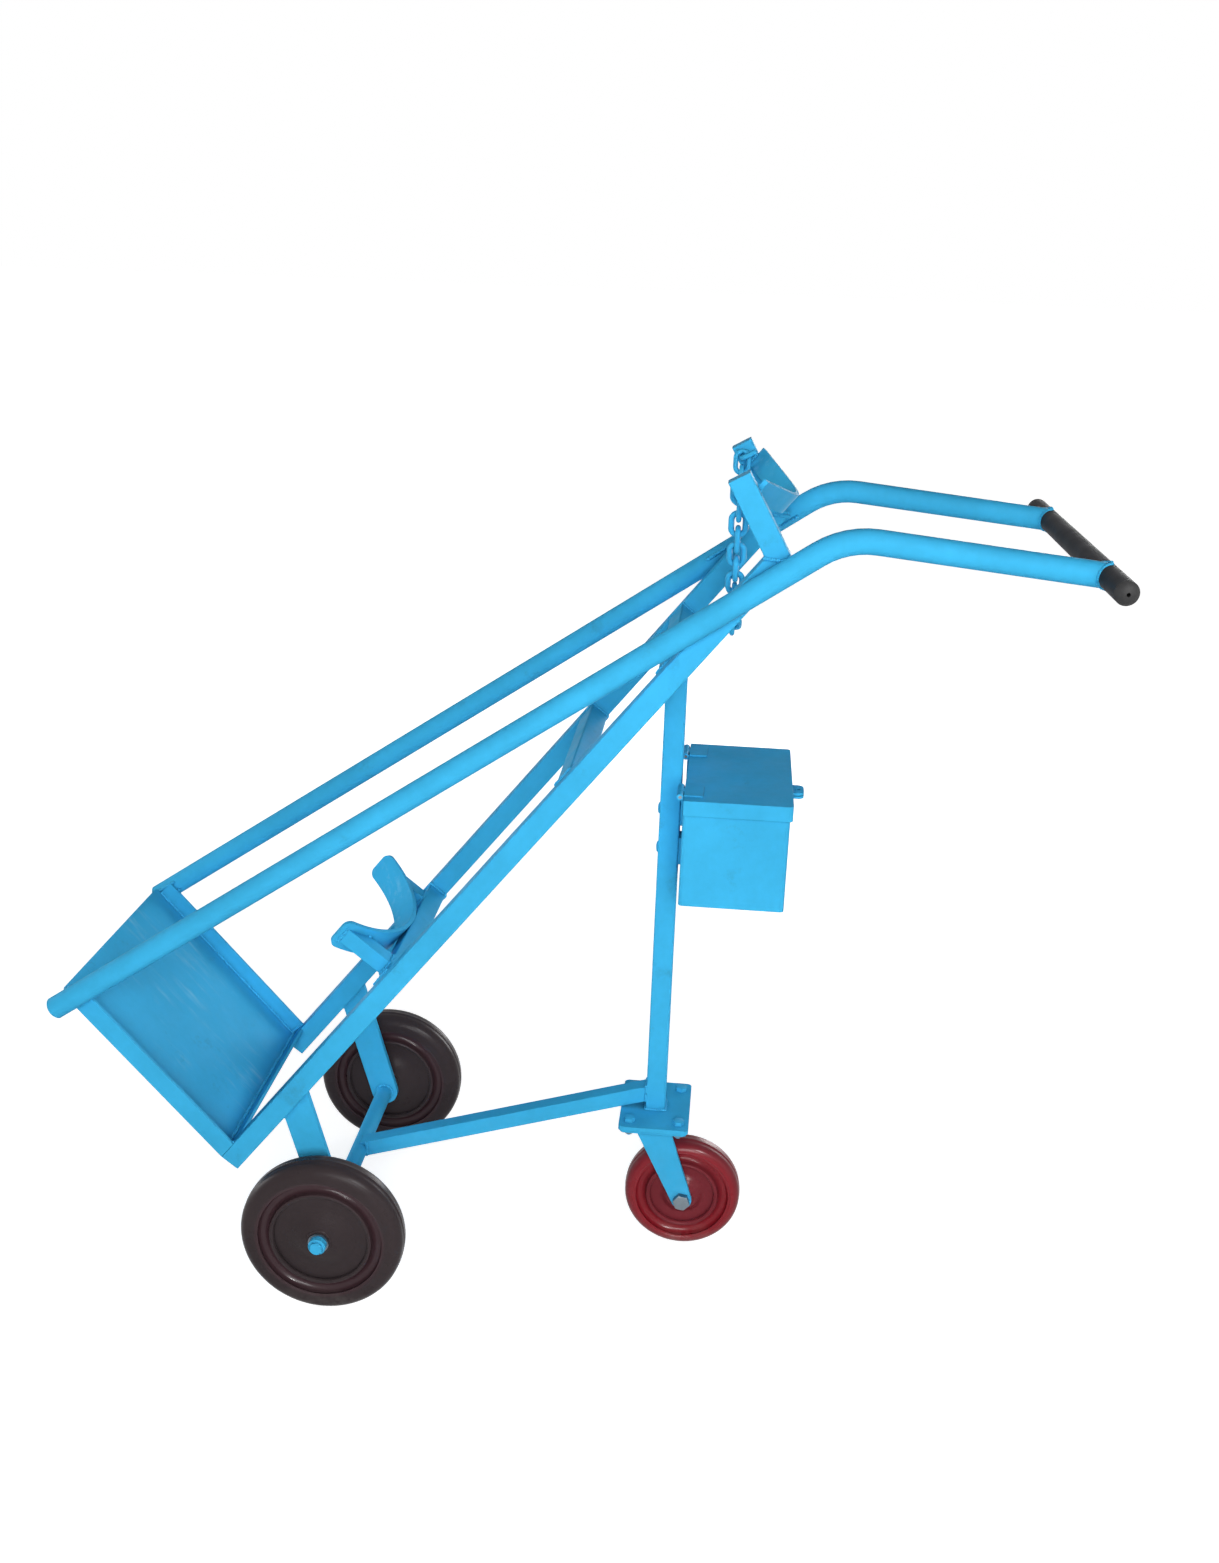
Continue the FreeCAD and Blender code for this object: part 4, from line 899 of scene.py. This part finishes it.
ROLLED_CORNER = 0.0018
CORNER_STEPS = 4
SHORTEST_CORNER = 0.045
SAME_POINT = 1e-5
FLAT_ANGLE = math.radians(1.0)
CORNER_ANGLE = math.radians(60)
TUBE_SHARP_ANGLE = math.radians(40)
SQUARE_TUBES = (
    "left_rear_bar", "right_rear_bar", "left_chain_post", "right_chain_post", "lower_cross_bar",
    "middle_cross_bar", "leg_cross_bar", "leg",
)


def roll_corners(node):
    """Square tube in the place of its node, with the long corners rounded as rolled tube has them."""
    name = node + "_rolled"
    work = bmesh.new()
    work.from_mesh(nodes[node].data)
    bmesh.ops.remove_doubles(work, verts=work.verts, dist=SAME_POINT)
    bmesh.ops.dissolve_limit(work, angle_limit=FLAT_ANGLE, verts=work.verts, edges=work.edges)
    corners = [
        edge for edge in work.edges
        if edge.is_manifold and edge.calc_length() > SHORTEST_CORNER
        and edge.calc_face_angle_signed(0.0) > CORNER_ANGLE
    ]
    rolled = bmesh.ops.bevel(
        work, geom=corners, offset=ROLLED_CORNER, offset_type="OFFSET", segments=CORNER_STEPS, profile=0.5,
        affect="EDGES", clamp_overlap=True,
    )
    strips = set(rolled["faces"])
    for face in work.faces:
        face.smooth = True
    for edge in work.edges:
        in_strip = {face in strips for face in edge.link_faces}
        edge.smooth = len(in_strip) == 1 and edge.calc_face_angle(0.0) < TUBE_SHARP_ANGLE
    mesh = bpy.data.meshes.new(name)
    work.to_mesh(mesh)
    work.free()
    mesh.materials.append(blue_enamel)
    add_piece(add_object(name, mesh), "frame", "blue_enamel", node)


for square_tube in SQUARE_TUBES:
    roll_corners(square_tube)


# Meshes of rings


def ring_mesh(name, rings, capped, sharp_angle):
    """Closed mesh of rings joined in order, with both ends capped or the last ring joined to the first."""
    count = len(rings[0])
    verts = [point for ring in rings for point in ring]
    faces = []
    for level in range(len(rings) - 1 if capped else len(rings)):
        here, there = level * count, (level + 1) % len(rings) * count
        for i in range(count):
            j = (i + 1) % count
            faces.append((here + i, here + j, there + j, there + i))
    if capped:
        faces.append(tuple(range(count))[::-1])
        faces.append(tuple((len(rings) - 1) * count + i for i in range(count)))
    mesh = bpy.data.meshes.new(name)
    mesh.from_pydata(verts, [], faces)
    work = bmesh.new()
    work.from_mesh(mesh)
    bmesh.ops.recalc_face_normals(work, faces=work.faces)
    work.to_mesh(mesh)
    work.free()
    mesh.shade_smooth()
    mesh.set_sharp_from_angle(angle=math.radians(sharp_angle))
    return mesh


# Moulded wheels

WHEEL_SEGMENTS = 112
WHEEL_SHARP_ANGLE = 40
BORE_CHAMFER = 0.001
HUB_CORNER = 0.002
WEB_STEPS = 10
LIP_RADIUS = 0.007
LIP_FILLET = 0.003
LIP_RISE = 0.0022
LIP_END_ANGLE = 32

# Steps outward from the lip's end, and up from it for the floor or from the rim for the wall
GROOVE_FLOOR = ((0.0008, -0.0002), (0.0020, 0.0002))
GROOVE_WALL = ((0.0030, -0.0002), (0.0038, 0.0))

SEAM_HEIGHT = 0.0004
SEAM_HALF_FOOT = 0.0010
SEAM_HALF_TOP = 0.0005


def arc(centre, radius, start, end, steps):
    """Points of an arc in a profile of (radius, y), with its angles in degrees from straight outward."""
    turns = [math.radians(start + (end - start) * step / steps) for step in range(steps + 1)]
    return [(centre[0] + radius * math.cos(t), centre[1] + radius * math.sin(t)) for t in turns]


def wheel_side(bore, hub_radius, hub_y, web_start, web_y, rim_inner, rim_y, outer, tread_radius):
    """One side of a wheel's profile: bore, hub, web, rolled lip, groove, rounded tread and mould seam."""
    points = [(bore, hub_y - BORE_CHAMFER), (bore + BORE_CHAMFER, hub_y)]
    points += arc((hub_radius - HUB_CORNER, hub_y - HUB_CORNER), HUB_CORNER, 90, 20, 4)
    for step in range(1, WEB_STEPS + 1):
        t = step / WEB_STEPS
        blend = t * t * (3 - 2 * t)
        fall = (web_y - hub_y + HUB_CORNER) * blend
        points.append((hub_radius + (web_start - hub_radius) * t, hub_y - HUB_CORNER + fall))
    lip_y = rim_y + LIP_RISE - LIP_RADIUS
    fillet_y = web_y + LIP_FILLET
    reach = math.sqrt((LIP_RADIUS + LIP_FILLET) ** 2 - (fillet_y - lip_y) ** 2)
    meeting = math.degrees(math.atan2(fillet_y - lip_y, -reach))
    points += arc((rim_inner - reach, fillet_y), LIP_FILLET, -90, meeting - 180, 6)
    points += arc((rim_inner, lip_y), LIP_RADIUS, meeting, LIP_END_ANGLE, 18)[1:]
    groove, low = points[-1]
    points += [(groove + outward, low + up) for outward, up in GROOVE_FLOOR]
    points += [(groove + outward, rim_y + up) for outward, up in GROOVE_WALL]
    tread = outer - SEAM_HEIGHT
    points += arc((tread - tread_radius, rim_y - tread_radius), tread_radius, 84, 0, 10)
    return points + [(tread, SEAM_HALF_FOOT), (outer, SEAM_HALF_TOP)]


def turned_wheel(name, centre, material, side):
    """Closed ring of a wheel's profile about the Y axis through a centre."""
    profile = [(r, -y) for r, y in side] + side[::-1]
    rings = []
    for step in range(WHEEL_SEGMENTS):
        turn = 2 * math.pi * step / WHEEL_SEGMENTS
        radial = AHEAD * math.cos(turn) + UPWARD * math.sin(turn)
        rings.append([centre + radial * r + ACROSS * y for r, y in profile])
    mesh = ring_mesh(name, rings, False, WHEEL_SHARP_ANGLE)
    mesh.materials.append(material)
    return add_object(name, mesh)


def make_wheels():
    """Both front wheels and the castor's wheel in the places of their nodes."""
    front = wheel_side(
        bore=0.011, hub_radius=0.016, hub_y=0.022, web_start=0.044, web_y=0.012, rim_inner=0.070, rim_y=0.020,
        outer=WHEEL_RADIUS, tread_radius=0.014,
    )
    for side, body in zip(SIDES, ("left_wheel", "right_wheel")):
        wheel = turned_wheel(body + "_moulding", AXLE + ACROSS * (side * WHEEL_Y), maroon_wheel, front)
        add_piece(wheel, body, "maroon_wheel", body)
    castor = wheel_side(
        bore=0.009, hub_radius=0.016, hub_y=0.022, web_start=0.030, web_y=0.011, rim_inner=0.054, rim_y=0.019,
        outer=CASTOR_RADIUS, tread_radius=0.012,
    )
    wheel = turned_wheel("castor_wheel_moulding", CASTOR_AXLE, red_wheel, castor)
    add_piece(wheel, "castor_wheel", "red_wheel", "castor_wheel")


make_wheels()


# Hexagon and round-headed fasteners, with heads and nuts as shares of the bolt's diameter

HEX_FLATS = 1.6
HEAD_HEIGHT = 0.65
NUT_HEIGHT = 0.8
BUTTON_RADIUS = 0.875
BUTTON_HEIGHT = 0.35
BUTTON_FULLNESS = 0.7
BUTTON_TURNS = (0.3, 0.6, 0.9, 1.15, 1.4)
CHAMFER_ROUND = 0.93
CHAMFER_START = 0.96
CHAMFER_SLOPE = 0.58
NUT_BORE_PLAY = 0.00005
NUT_BORE_CHAMFER = 0.0006
THREAD_PITCH = 0.00125
THREAD_DEPTH = 0.45
THREAD_START = 0.0001
THREAD_END_ROOM = 0.0012
THREAD_CHAMFER = 0.0008
THREAD_CHAMFER_TOP = 0.97
THREAD_CHAMFER_TIP = 0.80
FASTENER_SHARP_ANGLE = 28
HEX_STEPS = 36
HEX_TURNS = [2 * math.pi * step / HEX_STEPS for step in range(HEX_STEPS)]
FASTENER_SPINS = (0.35, -0.20, 0.55, 0.10)


def hex_edge(flat, turn):
    """Distance from the axis to a hexagon's edge at an angle."""
    return flat / math.cos((turn + math.pi / 6) % (math.pi / 3) - math.pi / 6)


def plain_ring(radius, z):
    """Round ring at a height."""
    return [(radius * math.cos(t), radius * math.sin(t), z) for t in HEX_TURNS]


def hex_ring(flat, z, slope):
    """Ring on a hexagon's edge, its corners lowered by the chamfer's slope."""
    ring = []
    for t in HEX_TURNS:
        edge = hex_edge(flat, t)
        drop = slope * max(edge - CHAMFER_START * flat, 0.0)
        ring.append((edge * math.cos(t), edge * math.sin(t), z - drop))
    return ring


def shank(radius, grip, thread):
    """Rings of a shank going down from its head: plain, then threaded, with a chamfered end."""
    rings = [plain_ring(radius, 0.0), plain_ring(radius, -(grip - thread))]
    z = -(grip - thread) - THREAD_START
    while z > -grip + THREAD_END_ROOM:
        rings.append(plain_ring(radius, z))
        rings.append(plain_ring(radius - THREAD_DEPTH * THREAD_PITCH, z - THREAD_PITCH / 2))
        z -= THREAD_PITCH
    rings.append(plain_ring(radius * THREAD_CHAMFER_TOP, -grip + THREAD_CHAMFER))
    rings.append(plain_ring(radius * THREAD_CHAMFER_TIP, -grip))
    return rings


def hex_bolt(name, diameter, grip, thread):
    """Hexagon bolt on the XY plane: chamfered head upward, shank with a thread downward."""
    flat = diameter * HEX_FLATS / 2
    height = diameter * HEAD_HEIGHT
    rings = [plain_ring(CHAMFER_ROUND * flat, height), hex_ring(flat, height, CHAMFER_SLOPE)]
    rings += [hex_ring(flat, 0.0, 0.0)] + shank(diameter / 2, grip, thread)
    return ring_mesh(name, rings[::-1], True, FASTENER_SHARP_ANGLE)


def button_bolt(name, diameter, grip, thread):
    """Round-headed bolt on the XY plane: low domed head upward, shank with a thread downward."""
    radius = diameter * BUTTON_RADIUS
    height = diameter * BUTTON_HEIGHT
    head = [plain_ring(radius * math.sin(t), height * math.cos(t) ** BUTTON_FULLNESS) for t in BUTTON_TURNS]
    rings = head + [plain_ring(radius, 0.0)] + shank(diameter / 2, grip, thread)
    return ring_mesh(name, rings[::-1], True, FASTENER_SHARP_ANGLE)


def hex_nut(name, diameter):
    """Hexagon nut on the XY plane, chamfered on both faces and bored."""
    flat = diameter * HEX_FLATS / 2
    height = diameter * NUT_HEIGHT
    bore = diameter / 2 + NUT_BORE_PLAY
    rings = [
        plain_ring(bore, 0.0), plain_ring(CHAMFER_ROUND * flat, 0.0), hex_ring(flat, 0.0, -CHAMFER_SLOPE),
        hex_ring(flat, height, CHAMFER_SLOPE), plain_ring(CHAMFER_ROUND * flat, height),
        plain_ring(bore + NUT_BORE_CHAMFER, height), plain_ring(bore, height - NUT_BORE_CHAMFER),
    ]
    return ring_mesh(name, rings, False, FASTENER_SHARP_ANGLE)


def make_fastener_tree():
    """One fastener set on each point, with the turn stored there."""
    tree, given, out = new_tree("fastener_set", [("Fastener", "NodeSocketObject", None)])
    shape = set_inputs(tree, tree.nodes.new("GeometryNodeObjectInfo"), Object=given["Fastener"])
    fasteners = set_on_points(
        tree, Points=given["Geometry"], Instance=shape.outputs["Geometry"], Rotation=stored_turn(tree),
    )
    finish_tree(tree, given, out, fasteners, smooth=False)
    return tree


FASTENER_TREE = make_fastener_tree()


def set_fasteners(name, mesh, places, axis, material, slot, node, body="frame"):
    """Puts a fastener at each place, standing along an axis, in the place of a CAD node."""
    shape = add_object(name + "_shape", mesh)
    base = axis.to_track_quat("Z", "Y").to_matrix()
    turns = [(base @ Matrix.Rotation(spin, 3, "Z")).to_euler() for spin in FASTENER_SPINS[:len(places)]]
    points = turned_points(name + "_points", places, turns)
    piece = grow(name, points, FASTENER_TREE, Fastener=shape, Finish=material)
    bpy.data.objects.remove(shape)
    add_piece(piece, body, slot, node)


SMALL_BOLT = 0.008
SMALL_BOLT_PAST_SEAT = 0.0094
CASTOR_BOLT_THREAD = 0.010
TOOLBOX_BOLT_THREAD = 0.012
TOOLBOX_BOLT_HEIGHTS = (0.553, 0.603)
TOOLBOX_STAND_OFF = 0.005
TOOLBOX_SHEET = 0.002
TOOLBOX_NUT_SEAT = LEG_X + HALF_BAR + TOOLBOX_STAND_OFF + TOOLBOX_SHEET
AXLE_BOLT = 0.012
AXLE_BOLT_PAST_FORK = 0.0126
AXLE_BOLT_THREAD = 0.016
FORK_OUTER_Y = 0.0283


def make_castor_plate_fasteners():
    """Bolts and nuts that hold the castor under the leg's mount plate."""
    corners = [(LEG_X + a * CASTOR_BOLT_HALF, b * CASTOR_BOLT_HALF_ACROSS) for a in SIDES for b in SIDES]
    grip = MOUNT_PLATE_TOP - CASTOR_PLATE_BOTTOM + SMALL_BOLT_PAST_SEAT
    bolt = hex_bolt("castor_bolt", SMALL_BOLT, grip, CASTOR_BOLT_THREAD)
    tops = [Vector((x, y, MOUNT_PLATE_TOP)) for x, y in corners]
    set_fasteners("castor_hex_bolts", bolt, tops, UPWARD, blue_bead, "blue_enamel", "castor_bolts")
    nut = hex_nut("castor_nut", SMALL_BOLT)
    bottoms = [Vector((x, y, CASTOR_PLATE_BOTTOM)) for x, y in corners]
    set_fasteners("castor_hex_nuts", nut, bottoms, -UPWARD, zinc_steel, "zinc_steel", "castor_nuts")


def make_toolbox_fasteners():
    """Bolts and nuts that hold the tool box on the leg."""
    leg_front = LEG_X - HALF_BAR
    grip = TOOLBOX_NUT_SEAT - leg_front + SMALL_BOLT_PAST_SEAT
    bolt = button_bolt("toolbox_bolt", SMALL_BOLT, grip, TOOLBOX_BOLT_THREAD)
    heads = [Vector((leg_front, 0.0, z)) for z in TOOLBOX_BOLT_HEIGHTS]
    set_fasteners("toolbox_round_bolts", bolt, heads, -AHEAD, blue_bead, "blue_enamel", "toolbox_bolts")
    nut = hex_nut("toolbox_nut", SMALL_BOLT)
    ends = [Vector((TOOLBOX_NUT_SEAT, 0.0, z)) for z in TOOLBOX_BOLT_HEIGHTS]
    set_fasteners("toolbox_hex_nuts", nut, ends, AHEAD, blue_bead, "blue_enamel", "toolbox_nuts")


def make_castor_axle_fasteners():
    """Bolt and nut that are the castor wheel's axle."""
    bolt = hex_bolt("axle_bolt", AXLE_BOLT, 2 * FORK_OUTER_Y + AXLE_BOLT_PAST_FORK, AXLE_BOLT_THREAD)
    nut = hex_nut("axle_nut", AXLE_BOLT)
    for kind, mesh, way in (("bolt", bolt, -ACROSS), ("nut", nut, ACROSS)):
        set_fasteners(
            "castor_axle_hex_" + kind, mesh, [CASTOR_AXLE + way * FORK_OUTER_Y], way,
            zinc_steel, "zinc_steel", "castor_axle_" + kind, body="castor_fork",
        )


make_castor_plate_fasteners()
make_toolbox_fasteners()
make_castor_axle_fasteners()


# Stage, light and camera

FLOOR_REACH = 40.0
FLOOR_GREY = (0.58, 0.58, 0.58)
GLOW_NEAR = 0.6
GLOW_FAR = 2.2
GLOW_AT_TROLLEY = 0.77
WORLD_LIGHT = 0.07
WHITE = (1.0, 1.0, 1.0)
MIDDLE = Vector((0.0, 0.0, 0.5))

# Name, place, size and power of each lamp
SOFT_LIGHTS = (
    ("main_light", (0.4, -3.0, 1.60), 1.4, 88.0),
    ("back_fill", (1.6, 3.0, 0.75), 1.5, 60.0),
    ("front_fill", (-3.2, 0.6, 0.80), 1.6, 42.0),
    ("handle_fill", (3.0, -1.2, 1.1), 2.0, 16.0),
)
GLINT_LIGHT = ("glint_light", (1.6, -2.5, 2.6), 0.45, 130.0)


def seen_rays(tree):
    """One for the rays that show a surface straight, mirrored or through glass, and zero for the rest."""
    path = tree.nodes.new("ShaderNodeLightPath").outputs
    seen = math_node(tree, "MAXIMUM", path["Is Camera Ray"], path["Is Glossy Ray"])
    return math_node(tree, "MAXIMUM", seen, path["Is Transmission Ray"])


def make_floor():
    """Plain pale floor that stays white in the picture and keeps a faint shadow."""
    corners = [(x * FLOOR_REACH, y * FLOOR_REACH, 0.0) for x, y in ((-1, -1), (1, -1), (1, 1), (-1, 1))]
    mesh = bpy.data.meshes.new("floor")
    mesh.from_pydata(corners, [], [(0, 1, 2, 3)])
    material = bpy.data.materials.new("pale_floor")
    material.use_nodes = True
    tree = material.node_tree
    tree.nodes.clear()
    matt = set_inputs(tree, tree.nodes.new("ShaderNodeBsdfDiffuse"), Color=FLOOR_GREY)
    away = vector_node(tree, "LENGTH", "Value", object_place(tree))
    level = remap(tree, away, GLOW_NEAR, GLOW_FAR, GLOW_AT_TROLLEY, 1.0)
    glow = tree.nodes.new("ShaderNodeEmission")
    set_inputs(tree, glow, Strength=product(tree, seen_rays(tree), level))
    both = tree.nodes.new("ShaderNodeAddShader")
    tree.links.new(matt.outputs["BSDF"], both.inputs[0])
    tree.links.new(glow.outputs["Emission"], both.inputs[1])
    set_inputs(tree, tree.nodes.new("ShaderNodeOutputMaterial"), Surface=both.outputs["Shader"])
    mesh.materials.append(material)
    add_object("floor", mesh)


def make_world():
    """White surroundings to look at, and a weaker even light from them."""
    world = bpy.data.worlds.new("studio")
    scene.world = world
    world.use_nodes = True
    tree = world.node_tree
    strength = remap(tree, seen_rays(tree), 0.0, 1.0, WORLD_LIGHT, 1.0)
    set_inputs(tree, tree.nodes["Background"], Color=WHITE, Strength=strength)


def area_light(name, place, size, power):
    """Square lamp that points at the middle of the trolley."""
    data = bpy.data.lights.new(name, "AREA")
    data.shape = "SQUARE"
    data.size = size
    data.energy = power
    lamp = add_object(name, data)
    lamp.location = place
    lamp.rotation_mode = "QUATERNION"
    lamp.rotation_quaternion = (MIDDLE - Vector(place)).to_track_quat("-Z", "Y")
    return lamp


def make_lights():
    """Soft lamps, and one that only shows as a glint on gloss."""
    for light in SOFT_LIGHTS:
        area_light(*light)
    area_light(*GLINT_LIGHT).visible_diffuse = False


def make_camera():
    """Camera from its place, yaw, pitch and roll."""
    data = bpy.data.cameras.new("camera")
    data.sensor_fit = "AUTO"
    data.sensor_width = SENSOR
    data.lens = CAMERA_FOCAL_PIXELS * SENSOR / IMAGE_HEIGHT
    ahead = Vector((math.sin(CAMERA_YAW), math.cos(CAMERA_YAW), 0.0))
    right = Vector((math.cos(CAMERA_YAW), -math.sin(CAMERA_YAW), 0.0))
    forward = ahead * math.cos(CAMERA_PITCH) - UPWARD * math.sin(CAMERA_PITCH)
    up = ahead * math.sin(CAMERA_PITCH) + UPWARD * math.cos(CAMERA_PITCH)
    rolled_right = right * math.cos(CAMERA_ROLL) - up * math.sin(CAMERA_ROLL)
    rolled_up = right * math.sin(CAMERA_ROLL) + up * math.cos(CAMERA_ROLL)
    turn = Matrix((rolled_right, rolled_up, -forward)).transposed().to_4x4()
    camera = add_object("camera", data)
    camera.matrix_world = Matrix.Translation(CAMERA_PLACE) @ turn
    scene.camera = camera


make_floor()
make_world()
make_lights()
make_camera()
